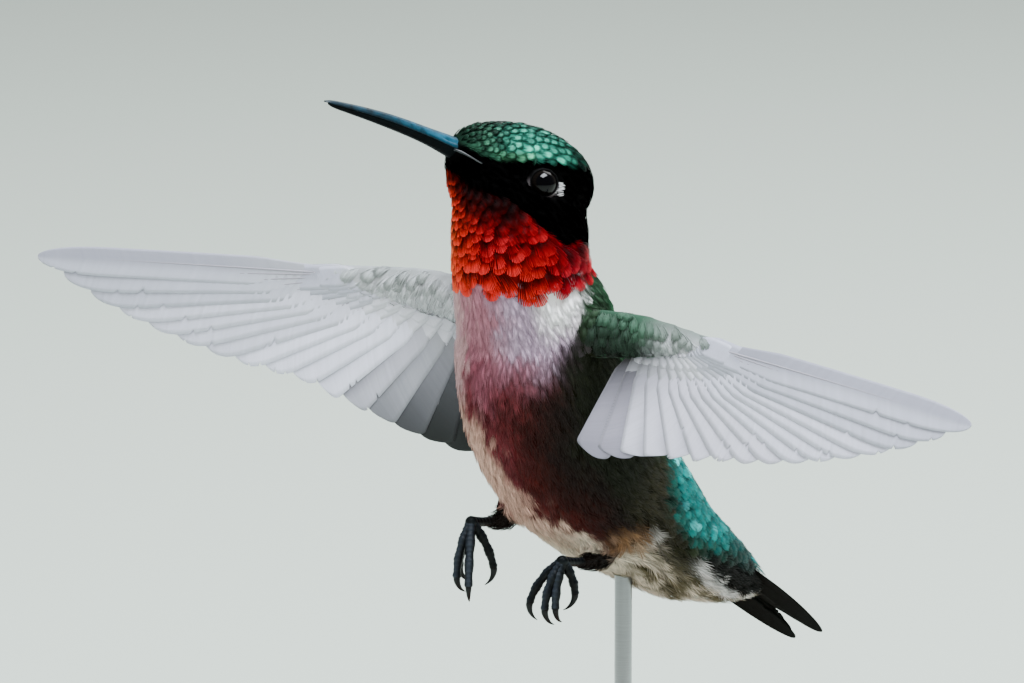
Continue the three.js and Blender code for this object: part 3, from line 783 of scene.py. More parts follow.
def follow(roots, normals, lengths, yaw):
    """Lays a line from each root along the coat's lie. Returns its points, sides and normals."""
    point, normal = roots, normals
    line, outs = [roots], [normals]
    sides = []
    for _ in range(LINE_STEPS):
        way = body_lie(point, normal)
        side = np.cross(normal, way)
        way = unit(way * np.cos(yaw)[:, None] + side * np.sin(yaw)[:, None])
        sides.append(np.cross(normal, way))
        point, normal = nearest_on(skin_tree, point + way * (lengths / LINE_STEPS)[:, None])
        normal = unit(normal)
        line.append(point)
        outs.append(normal)
    sides.append(sides[-1])
    return np.stack(line, 1), np.stack(sides, 1), np.stack(outs, 1)


def barb_fan(count, blunt, open_out, rings):
    """Barbs of a feather as places along (0 to 1) and across (-1 to 1) it, for each ring."""
    turn = np.linspace(-1, 1, count)
    t = np.linspace(0, 1, rings)[None, :]
    start = 0.42 * (1 - np.abs(turn)) ** 0.8
    reach = blunt + (1 - blunt) * np.sqrt(np.maximum(0.02, 1 - (0.96 * np.abs(turn)) ** 2.2))
    along = start[:, None] + (reach - start)[:, None] * t
    across = turn[:, None] * t ** open_out
    return along, across


def feather_coat(name, roots, normals, style, colour_of):
    """Builds one coat piece from roots. Its style gives the length, half width and lift in
    millimetres, the number of barbs and of rings along each, the barbs' half width, taper and
    thickness, and how far feathers and barbs stray in place and tone."""
    n, barbs, rings = len(roots), style["barbs"], style["rings"]
    lengths = style["length"] * draw.uniform(0.88, 1.12, n)
    widths = style["half_width"] * draw.uniform(0.9, 1.1, n)
    yaw = draw.normal(0, style["yaw"], n)
    line, sides, outs = follow(roots, normals, lengths, yaw)
    along, across = barb_fan(barbs, style["blunt"], style["open"], rings)
    stray = style["stray"]
    along = along[None] * (1 + stray * 0.5 * draw.normal(size=(n, barbs, 1)))
    across = across[None] + stray * draw.normal(size=(n, barbs, 1)) * np.linspace(0, 1, rings)
    spot = np.clip(along, 0, 1.15) * LINE_STEPS
    low = np.clip(spot.astype(int), 0, LINE_STEPS - 1)
    share = (spot - low)[..., None]
    feather = np.arange(n)[:, None, None]

    def between(values):
        return values[feather, low] * (1 - share) + values[feather, low + 1] * share

    middle, side, out = between(line), unit(between(sides)), unit(between(outs))
    t = np.linspace(0, 1, rings)
    profile = np.interp(t, [0, 0.5, 1], style["taper"])
    half = np.broadcast_to(style["barb_width"], n)[:, None, None] * profile * np.ones((n, barbs, 1))
    aside = across * widths[:, None, None]
    lift = (style["lift"] * draw.uniform(0.85, 1.15, n))[:, None, None] * along
    lift = lift + stray * 0.08 * draw.normal(size=(n, barbs, 1)) * t
    lift = lift - 0.07 * aside ** 2
    thick = style["thickness"]
    shape = []
    for shift, rise in ((-1, 0), (1, 0), (0, 1)):
        shape.append(middle + side * (aside + shift * half)[..., None]
                     + out * (lift + rise * thick * (0.3 + 0.7 * profile))[..., None])
    places = np.stack(shape, 3).reshape(-1, 3)
    # Triangles of one barb: a three-sided blade, closed at both ends.
    faces = []
    for r in range(rings - 1):
        for k in range(3):
            j = (k + 1) % 3
            a, b, c, d = 3 * r + k, 3 * r + j, 3 * r + 3 + j, 3 * r + 3 + k
            faces += [[a, b, c], [a, c, d]]
    top = 3 * (rings - 1)
    faces += [[0, 2, 1], [top, top + 1, top + 2]]
    faces = np.array(faces)
    blades = np.arange(n * barbs)[:, None, None] * (3 * rings)
    triangles = (faces[None] + blades).reshape(-1, 3)
    # Colour: the feather's own, darker towards the root, partly its duller base and partly painted shade from
    # the feathers over it, with a share of change from barb to barb.
    base = colour_of(line[:, style["sample"]], along)
    if base.ndim == 2:
        base = np.broadcast_to(base[:, None, None], (n, barbs, rings, 3))
    shade = 1 + style["streak"] * draw.normal(size=(n, barbs, 1))
    shade = shade + style["tone"] * draw.normal(size=(n, 1, 1))
    shade = shade * np.interp(t, [0, 0.45, 1], style["shade"])
    shade = shade * (1 + (style["rim"] - 1) * (np.abs(np.linspace(-1, 1, barbs)) ** 3)[None, :, None])
    colours = np.clip(base * np.clip(shade, 0.05, 3)[..., None], 0, 1)
    colours = np.repeat(colours[:, :, :, None, :], 3, axis=3).reshape(-1, 3)
    # The bake map: each feather is a small patch at its root's place.
    home = body_unwrap(roots)[:, None, None, :]
    patch = np.stack([0.5 * across, along - 0.5], -1) * BAKE_PATCH
    bake_map = np.repeat((home + patch)[:, :, :, None, :], 3, axis=3).reshape(-1, 2)
    return mesh_piece(name, places, triangles, colours, np.clip(bake_map, 0, 1))


def plumage_material(name, roughness, sheen=0.0, metallic=0.0, fine=0.0004, specular=0.5):
    """Barbs with their colour on the mesh, and a fine grain across them for the barbules."""
    material = new_material(name)
    colour = add_node(material, "ShaderNodeAttribute", attribute_name="plumage")
    grain = add_node(material, "ShaderNodeTexNoise", {"Scale": 1 / fine, "Detail": 2.0})
    add_node(material, "Principled BSDF", {
        "Base Color": colour.outputs["Color"],
        "Roughness": roughness,
        "Metallic": metallic,
        "Sheen Weight": sheen,
        "Sheen Roughness": 0.4,
        "Specular IOR Level": specular,
        "Normal": add_node(material, "ShaderNodeBump", {
            "Strength": 0.35, "Distance": 0.00004, "Height": grain.outputs["Fac"]}).outputs["Normal"],
    })
    return material


# Soft barbs of the underparts: keratin without a hard surface, so nearly matt.
soft_barbs = plumage_material("soft keratin barbs, preened", 0.7, 0.04, specular=0.1)
# Iridescent barbs: flat barbules stacked with melanin, whose sheen is a tinted mirror.
bright_barbs = plumage_material(
    "iridescent keratin barbs, preened", 0.36, metallic=0.6, specular=0.08)
gorget_barbs = plumage_material(
    "ruby iridescent keratin barbs, preened", 0.42, metallic=0.6, specular=0.12)
# Velvet: barbs so fine and upright that they swallow the light.
velvet_barbs = plumage_material("velvety black barbs, preened", 0.95, specular=0.0)


def plain_plumage_and_painted_light(points, _):
    return plumage_and_painted_light(points)


def gorget_colours(points, along):
    """Ruby scales, dark at the root and brightest at the rim, where a painted flash and a painted pink glint
    differ from scale to scale.
    """
    deep = plumage_and_painted_light(points)
    flash = np.clip(draw.normal(0.6, 0.32, len(points)), 0, 1)[:, None]
    glint = rgb("FF4248") * (0.02 + 0.3 * flash ** 2) * ease(0.03, 0.2, deep[:, :1])
    bright = deep * (1.3 + 1.1 * flash) + glint
    rim = ease(0.6, 0.95, along)[..., None]
    return deep[:, None, None, :] * (1 - rim) + bright[:, None, None, :] * rim


def crown_colours(points, along):
    """Mint scales with dark rims; each scale's painted flash, its brightness as if catching the light,
    differs from scale to scale.
    """
    base = plumage_and_painted_light(points)
    flash = np.clip(draw.normal(0.95, 0.45, len(points)), 0.25, 2.0)[:, None]
    base = np.clip(base * flash, 0, 1)
    rim = ease(0.7, 0.95, along)[..., None]
    return base[:, None, None, :] * (1 - 0.9 * rim) + rgb("061510") * 0.9 * rim


draw = np.random.default_rng(41)


def grow_coat(name, roots, normals, gaps, style, material, colour_of):
    """Builds and fastens one coat piece; a style's length and width are in gaps between roots."""
    lengths = style["length"] * gaps
    # In front of an eye the feathers are short, so that none lies over it.
    for side in (1, -1):
        off = eye_middle(side) - roots
        room = np.linalg.norm(off, axis=1) - EYE_RADIUS - 0.4
        blocks = (off * body_lie(roots, normals)).sum(1) > 0.5 * np.linalg.norm(off, axis=1)
        lengths = np.where(blocks, np.minimum(lengths, np.maximum(room, 0.25)), lengths)
    style = dict(style, length=lengths, half_width=style["half_width"] * gaps)
    finish_piece(feather_coat(name, roots, normals, style, colour_of), name, material)


def coat(name, wanted, spacing, style, material, colour_of=plain_plumage_and_painted_light):
    """A coat piece whose roots are strewn over the wanted part of the skin."""
    roots, normals, gaps = scatter(draw, skin.data, wanted, spacing)
    grow_coat(name, roots, normals, gaps, style, material, colour_of)


def bare(points):
    """True at the eyes and the bill's root, where no feather starts."""
    near = np.zeros(len(points), bool)
    for side in (1, -1):
        near |= np.linalg.norm(points - eye_middle(side), axis=1) < EYE_RADIUS + 0.5
    ahead, left, upward = on_head(points)
    near |= (ahead > 7.6) & (np.hypot(left, upward) < 1.3)
    return near


def zone(test):
    """A test's part of the skin without the bare places."""
    return lambda points: test(points) & ~bare(points)


# A scale feather: broad, blunt and close to the skin. Silk: narrow barbs that lie smooth. Down: the
# same, shorter, looser and a little rougher.
SCALE = {"barbs": 13, "rings": 4, "blunt": 0.78, "open": 0.6, "length": 2.4, "half_width": 0.8,
         "yaw": 0.06, "lift": 0.34, "stray": 0.015, "barb_width": 0.07, "taper": (0.5, 1, 0.9),
         "thickness": 0.03, "streak": 0.12, "tone": 0.1, "rim": 1, "shade": (0.2, 0.75, 1.05),
         "sample": 0}
SILK = {"barbs": 14, "rings": 3, "blunt": 0.35, "open": 0.75, "length": 4.2, "half_width": 0.95,
        "yaw": 0.12, "lift": 0.32, "stray": 0.1, "barb_width": 0.028, "taper": (0.8, 1, 0.15),
        "thickness": 0.025, "streak": 0.12, "tone": 0.04, "rim": 1, "shade": (0.85, 0.95, 1.04),
        "sample": 1}
DOWN = dict(SILK, length=3.3, lift=0.42, stray=0.14, tone=0.08, streak=0.2, barb_width=0.038,
            shade=(0.6, 0.88, 1.08))


def crown_gap(points):
    ahead, _, _ = on_head(points)
    return 0.78 - 0.32 * ease(2.5, 7.5, ahead)


coat("crown_scales", zone(lambda p: face_zone(p) & (crown_share(p) > 0.5)), crown_gap,
     dict(SCALE, barbs=9, lift=0.22, length=2.1, half_width=0.6, barb_width=0.055, rim=0.35,
          shade=(0.1, 0.7, 1.15)),
     bright_barbs, crown_colours)


def eye_spot(points):
    """The small white spot behind each eye."""
    ahead, left, upward = on_head(points)
    return (np.hypot((ahead + 1.1) / 0.12, (upward + 0.45) / 0.62) < 1) & (np.abs(left) > 5.3)


coat("mask_feathers", zone(lambda p: face_zone(p) & (crown_share(p) <= 0.5)), 0.5,
     dict(SILK, barbs=9, lift=0.2, length=2.4, barb_width=0.03), velvet_barbs)
coat("eye_spot_feathers", eye_spot, 0.13, dict(SILK, barbs=5, lift=0.5, length=2.4, half_width=0.8),
     soft_barbs, lambda points, _: np.full((len(points), 3), 0.6))


def gorget_rows():
    """Roots of the throat's scales, set like roof tiles: from the lowest row up, each row's scales
    stand over the gaps of the row below, and they shrink towards the chin."""
    places = points_of(skin.data)
    reach, turn, _ = on_body(places)
    near = (np.abs(turn) < 135) & (reach < 14)
    places, reach, turn = places[near], reach[near], turn[near]
    roots, gaps, row, height = [], [], 0, 1.0
    turns = np.arange(-122, 126, 1.0)
    while height < 13:
        level = gorget_foot(turns) - height
        far = (reach[None] - level[:, None]) ** 2 + ((turn[None] - turns[:, None]) * 0.14) ** 2
        line = places[far.argmin(1)]
        gone = length_along(line)
        gap = 0.58 + 0.95 * (max(0, 11 - height) / 10) ** 1.1
        stops = np.arange(0.25 + 0.5 * (row % 2), gone[-1] / gap, 1.0)
        stops = (stops + draw.uniform(-0.18, 0.18, len(stops))) * gap
        spots = np.stack([np.interp(stops, gone, line[:, axis]) for axis in range(3)], 1)
        spots = spots + draw.normal(0, 0.11 * gap, spots.shape)
        roots.append(spots)
        gaps.append(np.full(len(spots), gap))
        height += 0.6 * gap
        row += 1
    roots, normals = nearest_on(skin_tree, np.concatenate(roots))
    gaps = np.concatenate(gaps)
    kept = in_gorget(roots, 0.6) & ~bare(roots)
    return roots[kept], normals[kept], gaps[kept]


roots, normals, gaps = gorget_rows()
front = fade(-30, 40, on_body(roots)[1])
gorget_style = dict(
    SCALE, barbs=12, lift=0.28 + 0.2 * (1 - front), open=0.5, blunt=0.62, length=1.85, half_width=0.64,
    barb_width=0.044 * gaps + 0.014 * front, streak=0.28, shade=(0.03, 0.35, 1.2), tone=0.12, rim=0.8)
grow_coat("gorget_scales", roots, normals, gaps, gorget_style, gorget_barbs,
          gorget_colours)


def on_arm(points):
    """True on the arms' coats and a little way into the body, where they join."""
    near = np.zeros(len(points), bool)
    for pose in WING_POSES.values():
        out, down, front = on_wing(points, pose)
        near |= (out > -2.5) & (np.abs(front) < 5) & (np.abs(down - 3) < 4.5)
    return near & (off_body(points) > -0.1)


def on_leg(points):
    """True on the legs' coats."""
    near = [np.linalg.norm(points - place, axis=1) for leg in LEGS.values() for place in leg]
    return (np.min(near, axis=0) < 5) & (off_body(points) > -0.1)


def body_part(low, high):
    """A test for the body between two reaches down the spine, without face, throat and limbs."""
    def test(points):
        reach, turn, _ = on_body(points)
        throat = in_gorget(points, 0.1 - 0.35 * ease(50, 75, np.abs(turn)))
        apart = ~face_zone(points) & ~throat & ~on_arm(points) & ~on_leg(points)
        return (reach >= low) & (reach < high) & apart
    return test


def underside(points):
    """True on the breast, belly and vent, and a little past their edge."""
    reach, turn, _ = on_body(points)
    return np.abs(turn) < band_turn(reach) + 8


def teal_zone(points):
    """True on the turquoise rump."""
    reach, turn, _ = on_body(points)
    return (np.abs(turn) > teal_turn(reach) - 2) & (reach > 36) & (reach < 59)


def green_side(points):
    """True on the flanks and back: between the underparts and the rump."""
    return body_part(0, 40)(points) & ~underside(points) & ~teal_zone(points)


def middle_back(points):
    return np.abs(on_body(points)[1]) >= 128


coat("breast_feathers", zone(lambda p: body_part(0, 19)(p) & underside(p)), 0.48, SILK, soft_barbs)
coat("belly_feathers", zone(lambda p: body_part(19, 37)(p) & underside(p)), 0.6, DOWN, soft_barbs)
coat("flank_feathers", zone(lambda p: green_side(p) & ~middle_back(p)), 0.6, DOWN, soft_barbs)
coat("back_scales", zone(lambda p: green_side(p) & middle_back(p)), 0.95, dict(SCALE, tone=0.2),
     bright_barbs)
coat("vent_feathers", zone(lambda p: body_part(37, 80)(p) & ~teal_zone(p)
                           & (underside(p) | (on_body(p)[0] > 40))), 0.8,
     dict(DOWN, length=3.6, lift=0.55, yaw=0.2), soft_barbs)
coat("rump_scales", zone(lambda p: body_part(36, 80)(p) & teal_zone(p)), 0.82,
     dict(SCALE, barbs=11, lift=0.45, tone=0.3, length=2.6, blunt=0.6, stray=0.05, rim=0.6),
     bright_barbs)
coat("arm_coverts", on_arm, 0.72,
     dict(SCALE, barbs=9, rings=3, lift=0.2, length=3.0, half_width=0.75, tone=0.03, streak=0.06,
          stray=0.05, shade=(0.8, 0.95, 1.02)),
     soft_barbs)
coat("leg_feathers", on_leg, 0.5, dict(DOWN, barbs=9, lift=0.3, length=2.6), soft_barbs)

# ---------------------------------------------------------------------------------------------
# Flight feathers of the wings: six secondaries and ten primaries each, of keratin. A stiff shaft
# carries two flat vanes of slanting barbs that hook together, and split apart here and there.

# The feathers' tips and roots: how far out along the arm and down from it, from the innermost on.
TIP_LINE = np.array([[3.4, 15.2], [9, 14.6], [15, 13.0], [22, 11.0], [29, 9.2], [36, 6.9],
                     [43.5, 3.9], [50, 0.5]])
ROOT_LINE = np.array([[1.5, 3.4], [5, 3.0], [9, 2.1], [13, 1.6], [16.5, 1.3]])
SECONDARIES, FLIGHT_FEATHERS, COVERTS = 6, 16, 13
SECONDARY_WIDTH, PRIMARY_WIDTH = 4.6, 4.9
SHAFT_RINGS, SHAFT_SIDES = 14, 6


def round_angles(count):
    return np.arange(count) * 2 * math.pi / count


def loft(rings, closed=True):
    """Places and triangles of a tube through rings of the same size, closed by a fan at each end."""
    count = len(rings[0])
    places = np.concatenate(rings)
    k, m = np.meshgrid(np.arange(len(rings) - 1), np.arange(count), indexing="ij")
    p, q = (k * count + m).ravel(), (k * count + (m + 1) % count).ravel()
    triangles = np.concatenate([np.stack([p, q, q + count], 1), np.stack([p, q + count, p + count], 1)])
    if closed:
        last = (len(rings) - 1) * count
        caps = [[0, n + 1, n] for n in range(1, count - 1)]
        caps += [[last, last + n, last + n + 1] for n in range(1, count - 1)]
        triangles = np.concatenate([triangles, np.array(caps)])
    a, b, c = (places[triangles[:, i]] - places[0] for i in range(3))
    if (a * np.cross(b, c)).sum() < 0:
        triangles = triangles[:, ::-1]
    return places, triangles


def place_on(line, share, even=True):
    """A point at a share of a smooth line, by its length or by its stations."""
    path = along_path(line, 20)
    steps = np.arange(len(path)) / (len(path) - 1)
    if even:
        gone = length_along(path)
        steps = gone / gone[-1]
    return np.array([np.interp(share, steps, path[:, i]) for i in range(path.shape[1])])


def vane_feather(draw, root, tip, face, lead_side, lead, trail, bow, style):
    """One feather with a shaft and two vanes. lead and trail are its half widths, and lead_side is
    the direction of its leading edge. Returns places, triangles and colours."""
    rows, columns = style["rows"], style["columns"]
    along = unit(tip - root)
    length = np.linalg.norm(tip - root)
    across = unit(lead_side - (lead_side @ along) * along)
    flat = unit(face - (face @ along) * along - (face @ across) * across)
    t = np.linspace(0, 1, rows)
    reach = 1 - (1 - t) ** 1.25
    round_tip = np.sqrt(np.maximum(0.0, 1 - np.maximum(0, (reach - style["tip_from"])
                                                       / (1.0 - style["tip_from"])) ** 2.2))
    body = np.minimum(1, style["base"] + 2.4 * reach) * round_tip
    f = np.linspace(-1, 1, 2 * columns + 1)
    half = np.where(f > 0, lead, trail)
    notch = np.ones((rows, len(f)))
    for row in draw.choice(np.arange(rows // 2, rows - 6), style["splits"], replace=False):
        notch[row, 0] = draw.uniform(0.8, 0.9)
    width = body[:, None] * notch * (np.abs(f) * half)[None]
    slant = style["slant"] * width * (1 - reach[:, None] ** 8)
    shift = np.clip(reach[:, None] + slant / length, 0, 1 + 0.002 * np.abs(f))
    ridge = style["ridge"] * np.where(np.arange(rows) % 2 == 0, 1, -1)[:, None] * (np.abs(f) > 0.05)
    sag = style["camber"] * (np.abs(f) ** 2) * half * body[:, None]
    tilt = -style["tilt"] * np.sign(f) * width
    middle = (root[None, None] + along * (shift * length)[..., None]
              + across * (np.sign(f) * width + bow * np.sin(math.pi * shift))[..., None]
              + flat * (ridge + tilt - sag + style["arch"] * np.sin(math.pi * shift) * length)[..., None])
    thick = style["thickness"] * (1 - 0.6 * np.abs(f)) / 2
    top, under = middle + flat * thick[None, :, None], middle - flat * thick[None, :, None]
    wide = len(f)
    places = np.concatenate([top.reshape(-1, 3), under.reshape(-1, 3)])
    i, j = np.meshgrid(np.arange(rows - 1), np.arange(wide - 1), indexing="ij")
    a = (i * wide + j).ravel()
    b, c, d = a + 1, a + wide + 1, a + wide
    sheet = np.concatenate([np.stack([a, b, c], 1), np.stack([a, c, d], 1)])
    far = rows * wide
    rim = np.concatenate([np.arange(wide - 1), np.arange(rows - 1) * wide + wide - 1,
                          far - 1 - np.arange(wide - 1), (rows - 1 - np.arange(rows - 1)) * wide])
    after = np.roll(rim, -1)
    wall = np.concatenate([np.stack([rim, rim + far, after + far], 1),
                           np.stack([rim, after + far, after], 1)])
    triangles = np.concatenate([sheet, sheet[:, ::-1] + far, wall])
    # The vanes' colour: darker along the shaft, at the tip and at the root, with painted shade that deepens
    # towards the edge the next feather lies over.
    tint = np.tile(rgb(style["vane"]), (rows, wide, 1))
    tint = tint * (1 + style["streak"] * draw.normal(size=(rows, 1, 1)))
    share = style["shaft_shade"] * np.exp(-(f / 0.16) ** 2)[None]
    share = np.maximum(share, style["edge_shade"] * ease(-0.62, 0.15, f)[None])
    share = np.maximum(share, style["tip_shade"] * ease(style["tip_dark_from"], 1.0, reach)[:, None])
    tint = tint + (rgb(style["edge"]) - tint) * share[..., None]
    root_share = style["root_shade"] * fade(0.05, style["root_reach"], reach)
    tint = tint + (rgb(style["root"]) - tint) * root_share[:, None, None]
    colours = np.concatenate([tint.reshape(-1, 3), (tint * rgb(style["back"])).reshape(-1, 3)])
    # The shaft: a tapering rod.
    u = np.linspace(0, 0.97, SHAFT_RINGS)
    core = (root + along * (u * length)[:, None] + across * (bow * np.sin(math.pi * u))[:, None]
            + flat * (style["arch"] * np.sin(math.pi * u) * length)[:, None])
    angle = round_angles(SHAFT_SIDES)[:, None]
    radius = style["shaft"] * (1 - 0.8 * u)
    rod, tube = loft([c + r * (np.cos(angle) * across + np.sin(angle) * flat)
                      for c, r in zip(core, radius)])
    return (np.concatenate([places, rod]), np.concatenate([triangles, tube + len(places)]),
            np.concatenate([colours, plain(style["shaft_colour"], len(rod))]))


def joined(parts):
    """Places, triangles and colours of many feathers as those of one piece."""
    places, triangles, colours, start = [], [], [], 0
    for p, t, c in parts:
        places.append(p)
        triangles.append(t + start)
        colours.append(c)
        start += len(p)
    return np.concatenate(places), np.concatenate(triangles), np.clip(np.concatenate(colours), 0, 1)


# The vanes' grid, outline and relief, then their colours and how far each goes, then the shaft.
# The vanes' pale lavender is painted backlight, light shining through the thin vanes; the back face is
# darker.
FLIGHT = {"rows": 84, "columns": 5, "tip_from": 0.8, "base": 0.4, "splits": 2, "slant": 0.55,
          "ridge": 0.008, "camber": 0.03, "tilt": 0.05, "arch": 0.012, "thickness": 0.09,
          "vane": "CACCDA", "edge": "585864", "root": "A4A8A4", "back": "A09CA8", "streak": 0.03,
          "shaft_shade": 0.25, "edge_shade": 0.5, "tip_shade": 0.1, "tip_dark_from": 0.86,
          "root_shade": 0.3, "root_reach": 0.45, "shaft": 0.13, "shaft_colour": "8E8C96"}
WING_ROOT_SHADE = "10120B"
# Zipped barbs make a smooth vane with a low satin gloss.
vane_material = plumage_material(
    "flight feather keratin, zipped barbs", 0.5, 0.1, fine=0.0003, specular=0.35)


# The upper coverts' greens, from the body outwards, in the long and in the short row.
GREEN_COVERTS = (("2A4E38", "243E30", "343E40"), ("2C5A3E", "2A5038", "2E4438"))


def inner_shade(name, i):
    """How far painted shade darkens the wing's innermost feathers by the body, from the body outwards."""
    return fade(0.9, 5.2, i) if name == "right" else 0.5 * fade(0, 3, i)


for name, pose in WING_POSES.items():
    secondaries, primaries, coverts = [], [], []
    shoulder = pose["shoulder"]

    def spot(place, front):
        """A place on this wing: so far out, down and forward of its shoulder."""
        return shoulder + place[0] * pose["out"] + place[1] * pose["down"] + front * pose["front"]

    def root_and_tip(share):
        """Where a feather starts and ends, by its share of the way from the body to the wing tip."""
        tip_at = place_on(tips, pose["first_tip"] + (1 - pose["first_tip"]) * share)
        root_at = place_on(ROOT_LINE, pose["first_root"] + (1 - pose["first_root"]) * share, even=False)
        return root_at, tip_at

    tips = TIP_LINE + np.stack([np.zeros(8), pose["inner_drop"] * np.maximum(0, 1 - np.arange(8) / 3)], 1)
    face = unit(pose["front"] + 0.1 * pose["down"])
    lead_side = pose["out"] - pose["down"]
    for i in range(FLIGHT_FEATHERS):
        share = i / (FLIGHT_FEATHERS - 1)
        root_at, tip_at = root_and_tip(share)
        inner = i < SECONDARIES
        width = SECONDARY_WIDTH if inner else PRIMARY_WIDTH - 1.9 * share ** 6
        dark = inner_shade(name, i)
        style = dict(FLIGHT, tip_from=0.86 if inner else 0.74, tip_dark_from=0.86 - 0.7 * dark)
        style["tip_shade"] = max(0.12, dark)
        style["splits"] = 2 if i > 3 else 0
        style["vane"] = "D2D4E6" if i < 9 else ("C0C2D2" if i < 13 else "ACAFBE")
        # Painted shade: where the left wing meets the body, its feathers darken to black at the root.
        if name == "left":
            style["root"], style["root_shade"] = WING_ROOT_SHADE, 1 - 0.85 * ease(0, 6, i)
            style["root_reach"] = 0.85 - 0.3 * ease(0, 5, i)
            if i < 9:
                style["vane"] = "8E8C9A" if i < 2 else "BCBCCB"
        # Painted shade: the right wing's innermost feathers, hanging by the body, are darker.
        elif i < 5:
            style["edge"] = "141617"
            style["vane"] = ("303234", "54555C", "7A7B84", "9496A0", "A8A9B6")[i]
        lift = 0.035 * (i - 8)  # each lies on the next, as in a real wing seen from below
        feather = vane_feather(draw, spot(root_at, lift), spot(tip_at, lift + 0.2), face, lead_side,
                               0.42 * width, 0.58 * width, 0.1, style)
        (secondaries if inner else primaries).append(feather)
    # Coverts over the feathers' roots: a long and a short row below, and the same above. Each one is
    # a little narrower than the last.
    for facing, vane, edge in ((1, "C4C6D0", "9092A0"), (-1, "2C5A3E", "12261A")):
        for row, (reach, width) in enumerate(((0.42, 3.3), (0.25, 2.7))):
            for i in range(COVERTS):
                share = (i + 0.3) / (COVERTS + 1)
                root_at, tip_at = root_and_tip(share)
                end = root_at + (reach - 0.16 * share ** 3) * (tip_at - root_at)
                width = width * (1 - 0.04 * share)
                lift = 0.035 * (share * 15 - 8) + facing * (0.18 + 0.1 * row)
                style = dict(FLIGHT, rows=26, columns=3, vane=vane, edge=edge, back="FFFFFF",
                             tip_from=0.6, base=0.7, splits=0, tip_shade=0.12, shaft=0.05,
                             edge_shade=0.35, thickness=0.06)
                if facing < 0:
                    style["vane"] = GREEN_COVERTS[row][0 if i < 4 else (1 if i < 8 else 2)]
                    style["tip_shade"], style["streak"] = 0.45, 0.12
                elif i > 7:
                    style["vane"] = "B4B6C4" if i < 10 else "A6A9B8"
                if facing > 0 and row == 0:
                    style["tip_shade"], style["edge"] = 0.5 * fade(5, 12, i) + 0.12, "565864"
                # Painted shade: the left wing's lower coverts are black at the root, by the body.
                if facing > 0 and name == "left":
                    style["root"], style["root_reach"] = WING_ROOT_SHADE, 1.6
                    style["root_shade"] = fade(0, 7, i)
                coverts.append(vane_feather(draw, spot(root_at, lift), spot(end, lift), facing * face,
                                            lead_side, 0.5 * width, 0.5 * width, 0, style))
    for kind, parts in (("secondaries", secondaries), ("primaries", primaries), ("coverts", coverts)):
        piece = mesh_piece(f"wing_{name}_{kind}_vanes", *joined(parts))
        # The arm's covert solid is already replaced by the skin.
        replaced = () if kind == "coverts" else (f"wing_{name}_{kind}",)
        finish_piece(piece, piece.name, vane_material, replaced)

# ---------------------------------------------------------------------------------------------
# Tail. Ten black feathers of keratin in five pairs, the outer ones longest, so that the closed tail
# is forked. They are rooted under the rump and stacked like a hand of cards.

TAIL_PAIRS, TAIL_LENGTH, TAIL_FORK, TAIL_SPREAD = 5, 26, 7.5, 1.7
TAIL_DIP, TAIL_ROLL = 32.5, 22  # degrees
tail_back = np.array([0, math.cos(math.radians(TAIL_DIP)), -math.sin(math.radians(TAIL_DIP))])
tail_left = turned((1, 0, 0), tail_back, -TAIL_ROLL)
tail_up = np.cross(tail_left, tail_back)
tail_root = HOVER + np.array([0, 24.6, -22.8])
TAIL_VANE = dict(FLIGHT, rows=70, tip_from=0.5, vane="030503", edge="010201", shaft_colour="030403",
                 shaft=0.14, thickness=0.1, streak=0.12, tilt=0.02, camber=0.05, arch=0.01, ridge=0.012,
                 root="030503", back="FFFFFF")
feathers = []
for pair in range(TAIL_PAIRS):
    share = pair / (TAIL_PAIRS - 1)
    length = TAIL_LENGTH - TAIL_FORK * (1 - share) ** 1.3
    for side in (-1, 1):
        lift = -0.16 * pair - (0.08 if side > 0 else 0)
        root = tail_root + side * (0.4 + 0.9 * share) * tail_left + lift * tail_up
        aside = side * (0.7 + (TAIL_SPREAD - 0.7) * share)
        tip = tail_root + length * tail_back + aside * tail_left + lift * tail_up
        width = 3.0 - 0.4 * share
        feathers.append(vane_feather(draw, root, tip, tail_up, side * tail_left, 0.42 * width,
                                     0.58 * width, 0.6 * share, TAIL_VANE))
tail = mesh_piece("tail_vanes", *joined(feathers))
# Melanin makes the tail's vanes black and almost without gloss.
tail_material = plumage_material("black flight feather keratin", 0.6, fine=0.0003, specular=0.04)
finish_piece(tail, "tail_vanes", tail_material, ("tail",))

# ---------------------------------------------------------------------------------------------
# Eyes. Wet dark balls, each with a slightly bulging clear cornea over a brown-black iris, held by a
# ring of bare black lid that lies on the ball and is grey along its lower edge.

CORNEA_BULGE, CORNEA_EDGE = 0.09, 44
PUPIL_EDGE, IRIS_EDGE, LID_OPENING = 34, 50, 53  # degrees from the middle of the gaze
GAZE_TURN = 72  # degrees from straight ahead to where an eye looks
BALL_SIDES, LID_SIDES = 56, 60
# The lid's section: degrees beyond its opening, and the rise over the ball.
LID_PROFILE = [(-3, 0.02), (-3.5, 0.06), (-1, 0.1), (3, 0.11), (8, 0.09), (14, 0.1), (20, 0.13),
               (26, 0.06), (30, -0.15), (20, -0.12), (8, -0.05)]
# A wet clear surface over dark tissue: sharp small reflections on a nearly black ball.
eye_material = new_material("wet cornea over a brown-black iris")
# Dry wrinkled skin, dull beside the wet ball.
lid_material = plumage_material("bare eyelid skin, finely wrinkled", 0.6, fine=0.00015, specular=0.04)


def ring_of(middle, across, upward, radius, count):
    angle = round_angles(count)[:, None]
    return middle + radius * (np.cos(angle) * across + np.sin(angle) * upward)


